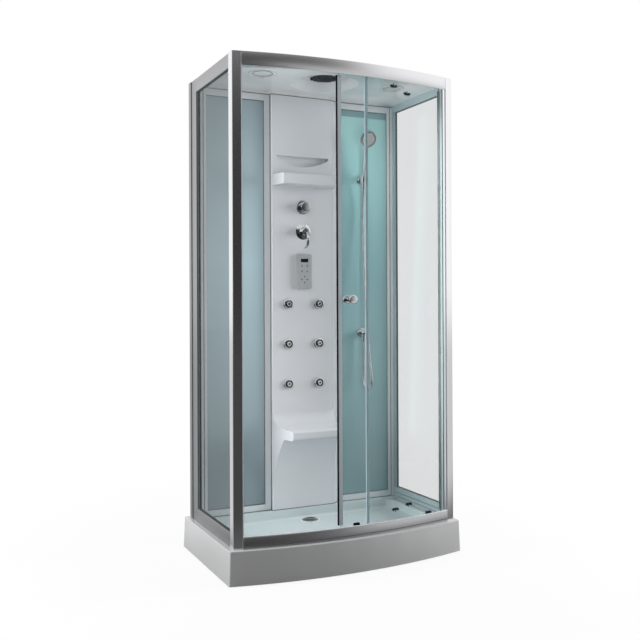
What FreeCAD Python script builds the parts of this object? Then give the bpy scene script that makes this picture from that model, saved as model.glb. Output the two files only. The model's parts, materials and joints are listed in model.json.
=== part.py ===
import FreeCAD, Part
import math
import os

# A bow-fronted shower cabin, in millimetres. Z is up, X runs along the bowed front, Y runs from front to back.
# The origin is the middle of the tray's footprint, on the floor.

# overall sizes
cabin_width = 1050.0
cabin_depth = 600.0
bow_depth = 64.0
post_height = 2000.0
tray_height = 142.0
tray_lip = 25.0
tray_flare = 5.0
service_depth = 100.0
seat_clearance = 0.3
overrun = 20.0

# shower tray
tray_shell = 5.0
tray_skirt_gap = 4.0
tray_corner_radius = 7.0
tray_edge_radius = 3.0
basin_depth = 35.0
basin_front_margin = 14.0
basin_side_margin = 10.0
basin_corner_radius = 46.0
basin_foot_radius = 12.0
platform_height = 12.0
platform_nose = 22.0
rear_opening_margin = 45.0
rear_opening_bridge = 30.0

# waste and its lift-out cover
drain_from_wall = 85.0
drain_hole_radius = 30.0
waste_flange_radius = 48.0
waste_flange_height = 2.5
waste_neck_radius = 28.0
waste_bore_radius = 25.0
waste_cup_radius = 50.0
waste_cup_height = 54.0
waste_cup_gap = 6.0
waste_floor = 4.0
waste_pipe_radius = 20.0
waste_pipe_wall = 2.0
waste_pipe_height = 66.0
waste_spigot_length = 30.0
drain_cover_radius = 39.0
drain_cover_height = 5.0
drain_cover_crown = 3.0
drain_spigot_depth = 18.0
drain_spigot_clearance = 0.6
drain_notches = 8
drain_notch_radius = 4.0

# frame and feet under the tray
frame_tube = 25.0
frame_tube_wall = 2.0
frame_cross_x = 380.0
frame_front_y = -215.0
frame_middle_y = 45.0
frame_end_margin = 45.0
foot_rod_radius = 6.0
foot_pad_radius = 22.0
foot_pad_height = 8.0
foot_nut_radius = 10.0
foot_nut_height = 8.0

# corner posts
post_width = 38.0
post_wall = 2.0
post_corner_radius = 6.0
glazing_fin = 2.0
glazing_gap = 1.0
glazing_fin_length = 12.0

# side walls
side_glass = 5.0
side_rail_width = 20.0
side_rail_height = 60.0
side_rail_inset = 3.0
side_rail_groove = 14.0
side_rail_chamber = 30.0
jamb_from_wall = 12.0

# curved rails of the front, sizes measured inwards from their outer face
top_rail_height = 55.0
bottom_rail_height = 50.0
rail_depth = 44.0
rail_skin = 3.0
pane_channel = 11.0
pane_wall = 2.0
pane_wall_height = 30.0
track_lip = 8.0
track_lip_drop = 34.0
fascia_chamfer = 2.0

# fixed pane of the front
pane_thickness = 5.0
pane_setback = 5.0
pane_left_x = 50.0
pane_end_margin = 8.0
pane_strip_width = 12.0
pane_strip_wall = 1.2
pane_jamb_length = 16.0
pane_guide_inset = 208.0
pane_guide_drop = 103.0
pane_guide_rise = 107.0

# strike on the left front post
strike_width = 10.0
strike_setback = 19.0
strike_depth = 17.0
strike_groove = 4.0

# sliding door, at the place where the photograph shows it
door_thickness = 6.0
door_setback = 24.0
door_left_x = -77.0
door_closed_gap = 2.0
door_overlap = 16.0
door_edge_drop = 33.0
door_edge_rise = 43.0
door_seal_width = 5.0
door_seal_depth = 8.0
door_seal_bulge = 1.0
door_stile_width = 16.0
door_stile_depth = 12.0
door_stile_grip = 8.0
door_stile_end_gap = 4.0
rear_seal_width = 6.0
rear_seal_reach = 5.0
rear_seal_wall = 1.2
knob_inset = 62.0
knob_height = 1000.0
knob_radius = 19.0
knob_thickness = 11.0
knob_neck_radius = 9.0
knob_reach = 31.0
knob_screw_radius = 4.0
knob_edge_radius = 3.0

# roller carriages of the door
carriage_left_inset = 88.0
carriage_right_inset = 75.0
wheel_radius = 11.0
wheel_width = 5.5
wheel_hub_radius = 5.5
wheel_hub_height = 0.6
wheel_groove = 0.8
wheel_gap = 3.0
axle_radius = 3.0
axle_clearance = 0.08
axle_cap_radius = 4.5
axle_cap_length = 1.0
carriage_width = 26.0
carriage_plate = 5.0
carriage_cheek = 2.0
carriage_grip = 12.0
carriage_head = 8.0
door_guide_inset = 256.0
door_guide_drop = 72.0
door_guide_rise = 88.0
guide_length = 24.0
guide_height = 10.0
guide_depth = 6.0
guide_nub_radius = 5.0
guide_pin_radius = 1.8
guide_pin_length = 9.0

# frames and glass panels of the back wall
column_width = 320.0
wall_frame_depth = 20.0
wall_frame_member = 30.0
wall_frame_height = 1954.0
panel_thickness = 4.0
panel_setback = 8.0
panel_grip = 9.0

# moulded column with its shelf and seat
column_shell = 4.0
column_proud = 18.0
column_flange = 18.0
shelf_height = 1538.0
shelf_thickness = 51.0
shelf_reach = 95.0
shelf_front_width = 276.0
shelf_nose_radius = 8.0
niche_top = 1682.0
niche_side_drop = 10.0
niche_middle_drop = 48.0
niche_width = 270.0
niche_depth = 22.0
seat_height = 399.0
seat_reach = 150.0
seat_front_width = 240.0
seat_nose = 44.0
seat_nose_radius = 12.0
seat_rise = 6.0
seat_cove_radius = 74.0
leg_reach = 84.0
leg_foot_height = 96.0
leg_foot_blend = 8.0

# roof panel and what it carries
roof_height = 1975.0
roof_sheet = 4.0
roof_upstand = 12.0
rain_y = -30.0
rain_recess_radius = 155.0
rain_dome_radius = 118.0
rain_recess_height = 38.0
rain_head_radius = 74.0
rain_head_thickness = 9.0
rain_head_drop = 5.0
rain_stub_radius = 10.0
rain_stub_length = 20.0
rain_nut_radius = 17.0
rain_nut_height = 8.0
roof_disc_x = 320.0
roof_disc_y = -84.0
lamp_radius = 60.0
lamp_rim = 8.0
lamp_body_radius = 48.0
lamp_body_height = 28.0
lamp_drop = 3.0
lamp_lens_recess = 1.5
speaker_radius = 56.0
speaker_slot = 5.0
speaker_slot_pitch = 11.0
speaker_slots = 7
speaker_body_height = 34.0

# diverter and mixer on the column
diverter_above_mixer = 116.0
diverter_flange_radius = 34.0
diverter_flange_thickness = 6.0
diverter_knob_radius = 23.0
diverter_knob_length = 30.0
diverter_grips = 8
diverter_grip_radius = 3.5
spindle_radius = 6.0
mixer_above_panel = 107.0
mixer_plate_radius = 38.0
mixer_plate_thickness = 7.0
mixer_cap_radius = 21.0
mixer_cap_length = 30.0
mixer_neck_radius = 13.0
mixer_slot_width = 12.0
mixer_slot_rise = 12.0
lever_pivot_radius = 3.0
lever_eye_radius = 6.4
lever_width = 11.0
lever_length = 82.0
lever_thickness = 8.0
lever_reach = 43.0
lever_tip_back = 32.0

# control panel
panel_height = 1053.0
panel_length = 165.0
panel_width = 76.0
panel_body_thickness = 15.0
panel_corner_radius = 6.0
display_width = 38.0
display_height = 17.0
display_from_top = 31.0
display_thickness = 1.5
key_radius = 4.5
key_rise = 0.6
key_spread = 26.0
key_row_first = 56.0
key_row_second = 82.0
pad_from_top = 122.0
pad_radius = 21.0
cable_gland_radius = 9.0
cable_gland_length = 14.0

# body jets
jet_spread = 79.5
jet_first_height = 603.0
jet_pitch = 189.0
jet_rows = 3
jet_bezel_radius = 25.0
jet_bezel_thickness = 9.0
jet_ball_radius = 14.0
jet_ball_clearance = 0.3
jet_mouth_radius = 11.5
jet_nozzle_radius = 9.5
jet_nozzle_reach = 7.0
jet_cup_radius = 17.5
jet_tail_radius = 8.0
jet_tail_length = 42.0
jet_nut_radius = 22.0
jet_nut_height = 6.0

# hand shower, its holder and its wall outlet
hand_x = 324.0
clip_height = 1592.0
clip_from_wall = 30.0
hand_lean = 8.0
holder_base_radius = 21.0
holder_base_thickness = 9.0
holder_stem_radius = 11.0
clip_ring_radius = 19.0
clip_ring_height = 26.0
clip_mouth = 15.0
handle_seat_radius = 12.0
handle_seat_taper = 1.2
handle_seat_gap = 0.3
handle_top_radius = 10.5
handle_length = 162.0
handle_tail = 30.0
hose_nut_radius = 10.2
hose_nut_length = 17.0
spray_radius = 43.0
spray_thickness = 20.0
spray_face_radius = 33.0
spray_face_rise = 2.0
spray_tilt = 62.0
outlet_height = 836.0
outlet_flange_radius = 23.0
outlet_flange_thickness = 8.0
outlet_arm_radius = 11.0
outlet_from_wall = 22.0
outlet_drop = 43.0
outlet_ball_radius = 14.0

# shower hose: its route from the hand shower's nut to the wall outlet's nut, chosen by hand
hose_radius = 7.0
hose_bend_share = 0.45
hose_route = [
    (324.0, 208.58, 1687.16),
    (324.0, 215.96, 1634.7),
    (323.0, 217.0, 1550.0),
    (321.0, 209.0, 1410.0),
    (319.0, 193.0, 1255.0),
    (316.5, 174.0, 1100.0),
    (314.0, 152.5, 950.0),
    (312.5, 130.5, 845.0),
    (312.0, 115.8, 790.0),
    (312.0, 107.4, 740.0),
    (313.5, 133.2, 706.6),
    (316.0, 175.2, 701.8),
    (319.0, 207.6, 728.8),
    (321.5, 211.2, 775.0),
    (323.0, 211.2, 845.0),
    (324.0, 210.0, 893.0),
    (324.0, 210.0, 934.7),
]

# water supply behind the column
valve_width = 150.0
valve_radius = 17.0
valve_from_wall = 38.0
inlet_spread = 75.0
inlet_radius = 10.48
inlet_thread_length = 15.0
inlet_shoulder_radius = 14.0
inlet_setback = 8.0
pipe_radius = 6.0
pipe_layer = 62.0
jet_pipe_radius = 8.0
jet_tee_radius = 11.0
link_rise = 40.0
elbow_radius = 9.0

# screws that hold the column to the wall frames
screw_rows = 6
screw_head_radius = 4.5
screw_head_height = 2.5
screw_radius = 1.9
screw_length = 12.0
screw_end_margin = 90.0

# planes and radii that follow from the sizes above
half_width = cabin_width / 2
centre_y = bow_depth / 2
front_y = centre_y - cabin_depth / 2
back_y = centre_y + cabin_depth / 2
bow_radius = (half_width ** 2 + bow_depth ** 2) / (2 * bow_depth)
axis_y = front_y - bow_depth + bow_radius
deck_z = tray_height
top_z = deck_z + post_height
wall_y = back_y - service_depth
face_y = wall_y - column_proud
post_inner_x = half_width - post_width
side_rail_inner_x = half_width - side_rail_inset - side_rail_width
side_glass_x = half_width - side_rail_inset - side_rail_width / 2
jamb_y = wall_y - jamb_from_wall
basin_z = deck_z - basin_depth
drain_y = wall_y - drain_from_wall
roof_z = deck_z + roof_height
clear_bottom_z = deck_z + bottom_rail_height
clear_top_z = top_z - top_rail_height
door_inner = door_setback + door_thickness
wheel_centre_drop = track_lip_drop - seat_clearance - wheel_radius
mixer_height = panel_height + panel_length + mixer_above_panel
diverter_height = mixer_height + diverter_above_mixer

vec = FreeCAD.Vector
up = vec(0, 0, 1)
inward = vec(0, 1, 0)
outward = vec(0, -1, 0)
bow_centre = vec(0, axis_y, 0)


# basic shapes
def block(x0, x1, y0, y1, z0, z1):
    return Part.makeBox(x1 - x0, y1 - y0, z1 - z0, vec(x0, y0, z0))


def rod(radius, length, start, direction):
    return Part.makeCylinder(radius, length, start, direction)


def prism(points, extent):
    outline = Part.makePolygon(points + [points[0]])
    return Part.Face(outline).extrude(extent)


def join(shapes):
    return shapes[0].fuse(shapes[1:]).removeSplitter()


def mirrored(shape):
    return shape.mirror(vec(0, 0, 0), vec(1, 0, 0))


def upright_edges(shape):
    edges = []
    for edge in shape.Edges:
        start, end = edge.firstVertex().Point, edge.lastVertex().Point
        if abs(start.x - end.x) < 1e-6 and abs(start.y - end.y) < 1e-6 and abs(start.z - end.z) > 1e-6:
            edges.append(edge)
    return edges


def edges_at_height(shape, height):
    return [edge for edge in shape.Edges
            if abs(edge.BoundBox.ZMin - height) < 1e-6 and abs(edge.BoundBox.ZMax - height) < 1e-6]


# shapes that follow the bow
def bow_angle(x, setback=0.0):
    return math.degrees(math.asin(x / (bow_radius - setback)))


def bow_y(x, setback=0.0):
    return axis_y - math.sqrt((bow_radius - setback) ** 2 - x ** 2)


def bow_sweep(profile, first_angle, last_angle):
    a = math.radians(first_angle)
    points = []
    for setback, z in profile:
        r = bow_radius - setback
        points.append(vec(r * math.sin(a), axis_y - r * math.cos(a), z))
    face = Part.Face(Part.makePolygon(points + [points[0]]))
    return face.revolve(bow_centre, up, last_angle - first_angle)


def bow_strip(u0, u1, z0, z1, first_angle, last_angle):
    return bow_sweep([(u0, z0), (u1, z0), (u1, z1), (u0, z1)], first_angle, last_angle)


def on_bow(shape, angle):
    shape.rotate(bow_centre, up, angle)
    return shape


def front_point(setback, z):
    return vec(0, axis_y - bow_radius + setback, z)


door_middle_setback = door_setback + door_thickness / 2
door_left_angle = bow_angle(door_left_x, door_middle_setback)
door_closed_angle = bow_angle(-post_inner_x + strike_width + door_closed_gap, door_middle_setback)
door_travel = door_left_angle - door_closed_angle
door_right_angle = bow_angle(pane_left_x + door_overlap, door_middle_setback) + door_travel
mm_angle = math.degrees(1 / (bow_radius - door_middle_setback))
seal_end_angle = door_left_angle + door_seal_width * mm_angle
stile_end_angle = seal_end_angle + door_stile_width * mm_angle
glass_left_angle = stile_end_angle - door_stile_grip * mm_angle
knob_angle = door_left_angle + knob_inset * mm_angle
carriage_left_angle = door_left_angle + carriage_left_inset * mm_angle
carriage_right_angle = door_right_angle - carriage_right_inset * mm_angle
door_guide_angle = door_right_angle - door_guide_inset * mm_angle
pane_end_angle = bow_angle(post_inner_x - pane_end_margin)
pane_guide_angle = pane_end_angle - pane_guide_inset * mm_angle


# tray
def tray_outline(inset):
    radius = bow_radius + tray_lip - inset
    x = half_width + tray_lip - inset
    y_front = axis_y - math.sqrt(radius ** 2 - x ** 2)
    y_back = back_y + tray_lip - inset
    nose = vec(0, axis_y - radius, 0)
    front = Part.Arc(vec(-x, y_front, 0), nose, vec(x, y_front, 0)).toShape()
    sides = [Part.makeLine(vec(x, y_front, 0), vec(x, y_back, 0)),
             Part.makeLine(vec(x, y_back, 0), vec(-x, y_back, 0)),
             Part.makeLine(vec(-x, y_back, 0), vec(-x, y_front, 0))]
    return Part.Face(Part.Wire([front] + sides))


def tray_block(inset, z0, z1, corner):
    sections = []
    for z in (z0, z1):
        section = tray_outline(inset + tray_flare * z / deck_z).OuterWire
        section.translate(vec(0, 0, z))
        sections.append(section)
    solid = Part.makeLoft(sections, True, True)
    corners = [edge for edge in solid.Edges if edge.BoundBox.ZLength > (z1 - z0) / 2]
    return solid.makeFillet(corner, corners)


def basin_block(grow, z0, z1):
    radius = bow_radius - rail_depth - basin_front_margin + grow
    x = side_rail_inner_x - basin_side_margin - (post_width - side_rail_width) + grow
    y_front = axis_y - math.sqrt(radius ** 2 - x ** 2)
    y_back = wall_y - platform_nose + grow
    nose = vec(0, axis_y - radius, 0)
    front = Part.Arc(vec(-x, y_front, 0), nose, vec(x, y_front, 0)).toShape()
    sides = [Part.makeLine(vec(x, y_front, 0), vec(x, y_back, 0)),
             Part.makeLine(vec(x, y_back, 0), vec(-x, y_back, 0)),
             Part.makeLine(vec(-x, y_back, 0), vec(-x, y_front, 0))]
    solid = Part.Face(Part.Wire([front] + sides)).extrude(vec(0, 0, z1 - z0))
    solid.translate(vec(0, 0, z0))
    return solid.makeFillet(basin_corner_radius + grow, upright_edges(solid))


def shower_tray():
    body = tray_block(0, tray_skirt_gap, deck_z, tray_corner_radius)
    body = body.makeFillet(tray_edge_radius, edges_at_height(body, deck_z))
    hollow = tray_block(tray_shell, 0, deck_z - tray_shell, tray_corner_radius - tray_shell / 2)
    body = body.cut(hollow)
    platform_x = side_rail_inner_x - seat_clearance
    platform_back = back_y - post_width - seat_clearance
    platform_front = wall_y - platform_nose
    platform = block(-platform_x, platform_x, platform_front, platform_back, deck_z - tray_shell, deck_z + platform_height)
    under = block(-platform_x + tray_shell, platform_x - tray_shell, platform_front + tray_shell,
                  platform_back - tray_shell, 0, deck_z + platform_height - tray_shell)
    basin = basin_block(tray_shell, basin_z - tray_shell, deck_z - tray_shell / 2)
    body = body.fuse([platform, basin]).cut(under)
    pocket = basin_block(0, basin_z, deck_z + overrun)
    pocket = pocket.makeFillet(basin_foot_radius, edges_at_height(pocket, basin_z))
    drain = rod(drain_hole_radius, basin_depth + tray_shell + overrun, vec(0, drain_y, basin_z - tray_shell), up)
    rear = block(-half_width + rear_opening_margin, half_width - rear_opening_margin, back_y,
                 back_y + tray_lip + overrun, 0, deck_z - rear_opening_bridge)
    return body.cut([pocket, drain, rear]).removeSplitter()


def tray_frame():
    top = basin_z - tray_shell
    low = top - frame_tube
    half = frame_tube / 2
    x_end = frame_cross_x + half
    y_front = front_y + frame_end_margin
    y_back = back_y - frame_end_margin
    solids = []
    chambers = []
    for x in (-frame_cross_x, frame_cross_x):
        solids.append(block(x - half, x + half, y_front, y_back, low, top))
        chambers.append(block(x - half + frame_tube_wall, x + half - frame_tube_wall, y_front - overrun,
                              y_back + overrun, low + frame_tube_wall, top - frame_tube_wall))
    for y in (frame_front_y, frame_middle_y):
        solids.append(block(-x_end, x_end, y - half, y + half, low, top))
    bores = [rod(foot_rod_radius, frame_tube + 2 * overrun, vec(x, y, low - overrun), up) for x, y in foot_places()]
    return join(solids).cut(chambers).cut(bores)


def foot_places():
    y_front = front_y + frame_end_margin + frame_tube
    y_back = back_y - frame_end_margin - frame_tube
    places = [(x, y) for x in (-frame_cross_x, frame_cross_x) for y in (y_front, y_back)]
    return places + [(0, frame_front_y), (0, frame_middle_y)]


def tray_feet():
    under_frame = basin_z - tray_shell - frame_tube
    feet = []
    for x, y in foot_places():
        pad = rod(foot_pad_radius, foot_pad_height, vec(x, y, 0), up)
        pad = pad.makeChamfer(foot_pad_height / 4, edges_at_height(pad, foot_pad_height))
        stem_height = under_frame + frame_tube - frame_tube_wall - foot_pad_height
        stem = rod(foot_rod_radius, stem_height, vec(x, y, foot_pad_height), up)
        nut = hexagon(foot_nut_radius, foot_nut_height, vec(x, y, under_frame - foot_nut_height))
        feet.append(join([pad, stem, nut]))
    return Part.makeCompound(feet)


def hexagon(radius, height, base):
    corners = [vec(base.x + radius * math.cos(math.radians(60 * i)), base.y + radius * math.sin(math.radians(60 * i)),
                   base.z) for i in range(6)]
    return prism(corners, vec(0, 0, height))


def waste_trap():
    flange = rod(waste_flange_radius, waste_flange_height, vec(0, drain_y, basin_z), up)
    cup_top = basin_z - tray_shell - waste_cup_gap
    cup_low = cup_top - waste_cup_height
    neck = rod(waste_neck_radius, basin_z - cup_low, vec(0, drain_y, cup_low), up)
    washer = rod(waste_flange_radius, waste_cup_gap, vec(0, drain_y, cup_top), up)
    cup = rod(waste_cup_radius, waste_cup_height, vec(0, drain_y, cup_low), up)
    pipe_end = back_y - frame_end_margin / 2
    pipe = rod(waste_pipe_radius, pipe_end - drain_y, vec(0, drain_y, waste_pipe_height), inward)
    sleeve = rod(waste_pipe_radius + waste_pipe_wall, pipe_end - waste_spigot_length - drain_y, vec(0, drain_y, waste_pipe_height), inward)
    body = join([flange, neck, washer, cup, pipe, sleeve])
    bore = rod(waste_bore_radius, basin_z, vec(0, drain_y, cup_low + waste_floor), up)
    pipe_bore = rod(waste_pipe_radius - waste_pipe_wall, pipe_end - drain_y + overrun,
                    vec(0, drain_y, waste_pipe_height), inward)
    return body.cut([bore, pipe_bore])


def drain_cover():
    base = basin_z + waste_flange_height
    disc = rod(drain_cover_radius, drain_cover_height, vec(0, drain_y, base), up)
    crown_radius = (drain_cover_radius ** 2 + drain_cover_crown ** 2) / (2 * drain_cover_crown)
    ball = Part.makeSphere(crown_radius, vec(0, drain_y, base + drain_cover_height - crown_radius))
    dome = disc.common(ball)
    spigot = rod(waste_bore_radius - drain_spigot_clearance, drain_spigot_depth, vec(0, drain_y, base - drain_spigot_depth), up)
    core = rod(waste_bore_radius - drain_spigot_clearance - tray_shell / 2, drain_spigot_depth + overrun,
               vec(0, drain_y, base - drain_spigot_depth - overrun), up)
    cover = dome.fuse(spigot).cut(core)
    notches = []
    for i in range(drain_notches):
        a = math.radians(360 * i / drain_notches)
        centre = vec(drain_cover_radius * math.cos(a), drain_y + drain_cover_radius * math.sin(a), base - overrun)
        notches.append(rod(drain_notch_radius, drain_cover_height + 2 * overrun, centre, up))
    return cover.cut(notches)


# corner posts and side walls
def hollow_bar(x0, x1, y0, y1, z0, z1):
    outer = block(x0, x1, y0, y1, z0, z1)
    return outer, block(x0 + post_wall, x1 - post_wall, y0 + post_wall, y1 - post_wall, z0 - overrun, z1 + overrun)


def glazing_fins(y0, y1):
    z0 = deck_z + side_rail_height
    z1 = top_z - side_rail_height
    near = side_glass / 2 + glazing_gap
    return [block(side_glass_x + near, side_glass_x + near + glazing_fin, y0, y1, z0, z1),
            block(side_glass_x - near - glazing_fin, side_glass_x - near, y0, y1, z0, z1)]


def bowed_bar(inset, z0, z1):
    x0, x1, y1 = post_inner_x + inset, half_width - inset, front_y + post_width - inset
    xm = (x0 + x1) / 2
    front = Part.Arc(vec(x0, bow_y(x0, inset), z0), vec(xm, bow_y(xm, inset), z0), vec(x1, bow_y(x1, inset), z0))
    sides = [Part.makeLine(vec(x1, bow_y(x1, inset), z0), vec(x1, y1, z0)),
             Part.makeLine(vec(x1, y1, z0), vec(x0, y1, z0)),
             Part.makeLine(vec(x0, y1, z0), vec(x0, bow_y(x0, inset), z0))]
    return Part.Face(Part.Wire([front.toShape()] + sides)).extrude(vec(0, 0, z1 - z0))


def front_post():
    outer = bowed_bar(0, deck_z, top_z)
    chamber = bowed_bar(post_wall, deck_z - overrun, top_z + overrun)
    corner = [edge for edge in upright_edges(outer)
              if edge.BoundBox.XMax > half_width - 1e-3 and edge.BoundBox.YMax < front_y + 1e-3]
    outer = outer.makeFillet(post_corner_radius, corner)
    fins = glazing_fins(front_y + post_width, front_y + post_width + glazing_fin_length)
    return outer.cut(chamber).fuse(fins).removeSplitter()


def pane_jamb_fins():
    x0 = post_inner_x - pane_jamb_length
    strips = []
    for u in (pane_setback - glazing_gap - pane_strip_wall, pane_setback + pane_thickness + glazing_gap):
        strip = bow_strip(u, u + pane_strip_wall, clear_bottom_z, clear_top_z, bow_angle(x0, u), bow_angle(half_width, u))
        strips.append(strip.common(block(x0, post_inner_x, front_y - bow_depth, back_y, 0, top_z)))
    return strips


def post_front_right():
    return front_post().fuse(pane_jamb_fins()).removeSplitter()


def back_post():
    square, chamber = hollow_bar(post_inner_x, half_width, back_y - post_width, back_y, deck_z, top_z)
    corner = [edge for edge in upright_edges(square)
              if edge.BoundBox.XMax > half_width - 1e-3 and edge.BoundBox.YMin > back_y - 1e-3]
    square = square.makeFillet(post_corner_radius, corner)
    jamb, jamb_chamber = hollow_bar(side_rail_inner_x, side_rail_inner_x + side_rail_width, jamb_y,
                                    back_y - post_width + post_wall, deck_z, top_z)
    fins = glazing_fins(jamb_y - glazing_fin_length, jamb_y)
    return square.fuse([jamb] + fins).cut([chamber, jamb_chamber]).removeSplitter()


def side_rail(z0, z1, groove_up):
    x0, x1 = side_rail_inner_x, side_rail_inner_x + side_rail_width
    y0, y1 = front_y + post_width, jamb_y
    half = side_glass / 2 + glazing_gap
    rail = block(x0, x1, y0, y1, z0, z1)
    rail = rail.makeFillet(glazing_fin, [edge for edge in rail.Edges if edge.Length > (y1 - y0) * 0.9])
    if groove_up:
        groove = block(side_glass_x - half, side_glass_x + half, y0 - overrun, y1 + overrun, z1 - side_rail_groove, z1 + overrun)
        chamber_z = z0 + glazing_fin
    else:
        groove = block(side_glass_x - half, side_glass_x + half, y0 - overrun, y1 + overrun, z0 - overrun, z0 + side_rail_groove)
        chamber_z = z1 - glazing_fin - side_rail_chamber
    chamber = block(x0 + glazing_fin, x1 - glazing_fin, y0 - overrun, y1 + overrun, chamber_z, chamber_z + side_rail_chamber)
    return rail.cut([groove, chamber])


def side_rails():
    low = side_rail(deck_z, deck_z + side_rail_height, True)
    high = side_rail(top_z - side_rail_height, top_z, False)
    return Part.makeCompound([low, high, mirrored(low), mirrored(high)])


def side_pane():
    half = side_glass / 2
    return block(side_glass_x - half, side_glass_x + half, front_y + post_width + seat_clearance, jamb_y - seat_clearance,
                 deck_z + side_rail_height - side_rail_groove + seat_clearance,
                 top_z - side_rail_height + side_rail_groove - seat_clearance)


# bowed front
def rail_profile(z, down, fascia):
    u_wall = rail_skin + pane_channel
    u_in = rail_depth - rail_skin
    shape = [(0, 0), (rail_depth, 0), (rail_depth, track_lip_drop + rail_skin), (u_in - track_lip, track_lip_drop + rail_skin),
             (u_in - track_lip, track_lip_drop), (u_in, track_lip_drop), (u_in, rail_skin), (u_wall + pane_wall, rail_skin),
             (u_wall + pane_wall, pane_wall_height), (u_wall, pane_wall_height), (u_wall, rail_skin),
             (rail_skin, rail_skin), (rail_skin, fascia), (fascia_chamfer, fascia), (0, fascia - 2 * fascia_chamfer)]
    return [(u, z + down * d) for u, d in shape]


def front_rail(z, down, fascia):
    reach = bow_angle(half_width)
    rail = bow_sweep(rail_profile(z, down, fascia), -reach, reach)
    return rail.common(block(-post_inner_x, post_inner_x, front_y - bow_depth - overrun, back_y, 0, top_z + overrun))


def fixed_front_glass():
    return bow_strip(pane_setback, pane_setback + pane_thickness, deck_z + rail_skin + seat_clearance,
                     top_z - rail_skin - seat_clearance, bow_angle(pane_left_x), pane_end_angle)


def fixed_glass_edge_strip():
    first = bow_angle(pane_left_x - pane_strip_wall)
    last = bow_angle(pane_left_x + pane_strip_width)
    z0, z1 = clear_bottom_z + seat_clearance, clear_top_z - seat_clearance
    skin = seat_clearance + pane_strip_wall
    outer = bow_strip(pane_setback - skin, pane_setback + pane_thickness + skin, z0, z1, first, last)
    slot = bow_strip(pane_setback - seat_clearance, pane_setback + pane_thickness + seat_clearance, z0 - overrun,
                     z1 + overrun, bow_angle(pane_left_x - seat_clearance), last + 1)
    return outer.cut(slot)


def guide_block(setback, z, facing):
    bar = block(-guide_length / 2, guide_length / 2, 0, guide_depth, -guide_height / 2, guide_height / 2)
    bar = bar.makeFillet(guide_height / 4, [edge for edge in bar.Edges if abs(edge.Length - guide_depth) < 1e-6])
    nubs = [rod(guide_nub_radius, guide_depth, vec(x, 0, facing * guide_height / 4), inward)
            for x in (-guide_length / 2, guide_length / 2)]
    pin = rod(guide_pin_radius, guide_height / 2 + guide_pin_length, vec(0, guide_depth / 2, 0), up * facing)
    guide = join([bar, pin] + nubs)
    guide.translate(front_point(setback + seat_clearance, z))
    return guide


def pane_guides():
    low = guide_block(pane_setback + pane_thickness, deck_z + pane_guide_rise, -1)
    high = guide_block(pane_setback + pane_thickness, top_z - pane_guide_drop, 1)
    return Part.makeCompound([on_bow(low, pane_guide_angle), on_bow(high, pane_guide_angle)])


def strike_strip():
    x0, x1 = -post_inner_x, -post_inner_x + strike_width
    y0 = bow_y(x0, strike_setback)
    bar = block(x0, x1, y0, y0 + strike_depth, clear_bottom_z, clear_top_z)
    middle = y0 + strike_depth / 2
    groove = block(x1 - strike_groove, x1 + overrun, middle - strike_groove / 2, middle + strike_groove / 2, 0, top_z)
    return bar.cut(groove)


# sliding door
door_low_z = deck_z + door_edge_rise
door_high_z = top_z - door_edge_drop
stile_low_z = clear_bottom_z + door_stile_end_gap
stile_high_z = clear_top_z - door_stile_end_gap


def door_glass():
    glass = bow_strip(door_setback, door_inner, door_low_z, door_high_z, glass_left_angle, door_right_angle)
    hole = rod(knob_screw_radius + glazing_gap, rail_depth, front_point(0, deck_z + knob_height), inward)
    return glass.cut(on_bow(hole, knob_angle))


def door_edge_profile():
    middle = door_setback + door_thickness / 2
    outer = bow_strip(middle - door_stile_depth / 2, middle + door_stile_depth / 2, stile_low_z, stile_high_z,
                      seal_end_angle, stile_end_angle)
    slot = bow_strip(door_setback - seat_clearance, door_inner + seat_clearance, stile_low_z - overrun, stile_high_z + overrun,
                     glass_left_angle - seat_clearance * mm_angle, stile_end_angle + 1)
    return outer.cut(slot)


def door_magnetic_seal():
    middle = door_setback + door_thickness / 2
    low, high = middle - door_seal_depth / 2, middle + door_seal_depth / 2
    body = bow_strip(low, high, stile_low_z, stile_high_z, door_left_angle + door_seal_bulge * mm_angle, seal_end_angle)
    bulge = bow_strip(low + door_seal_bulge, high - door_seal_bulge, stile_low_z, stile_high_z, door_left_angle,
                      door_left_angle + 2 * door_seal_bulge * mm_angle)
    chamber = bow_strip(low + 2 * door_seal_bulge, high - 2 * door_seal_bulge, stile_low_z - overrun, stile_high_z + overrun,
                        door_left_angle + 2 * door_seal_bulge * mm_angle, seal_end_angle - door_seal_bulge * mm_angle)
    return body.fuse(bulge).cut(chamber).removeSplitter()


def door_rear_seal():
    u0, u1 = door_setback - rear_seal_wall, door_inner + rear_seal_wall
    first = door_right_angle - rear_seal_width * mm_angle
    last = door_right_angle + rear_seal_wall * mm_angle
    shell = bow_strip(u0, u1, stile_low_z, stile_high_z, first, last)
    slot = bow_strip(door_setback, door_inner, stile_low_z - overrun, stile_high_z + overrun, first - 1, door_right_angle)
    lip = bow_strip(u0 - rear_seal_reach, u0, stile_low_z, stile_high_z, last - rear_seal_wall * mm_angle, last)
    return shell.cut(slot).fuse(lip).removeSplitter()


def knob(setback, facing):
    start = front_point(setback, deck_z + knob_height) + facing * seat_clearance
    neck = rod(knob_neck_radius, knob_reach, start, facing)
    head_start = start + facing * (knob_reach - knob_thickness)
    head = rod(knob_radius, knob_thickness, head_start, facing)
    head = head.makeFillet(knob_edge_radius, [edge for edge in head.Edges if abs(edge.Length - 2 * math.pi * knob_radius) < 1e-3])
    return join([head, neck])


def door_knob_outer():
    outer = knob(door_setback, outward)
    screw = rod(knob_screw_radius, door_thickness + knob_reach / 2, front_point(door_setback, deck_z + knob_height), inward)
    return on_bow(outer.fuse(screw).removeSplitter(), knob_angle)


def door_knob_inner():
    inner = knob(door_inner, inward)
    bore = rod(knob_screw_radius + axle_clearance, knob_reach / 2 + glazing_gap, front_point(door_inner, deck_z + knob_height), inward)
    return on_bow(inner.cut(bore), knob_angle)


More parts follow.
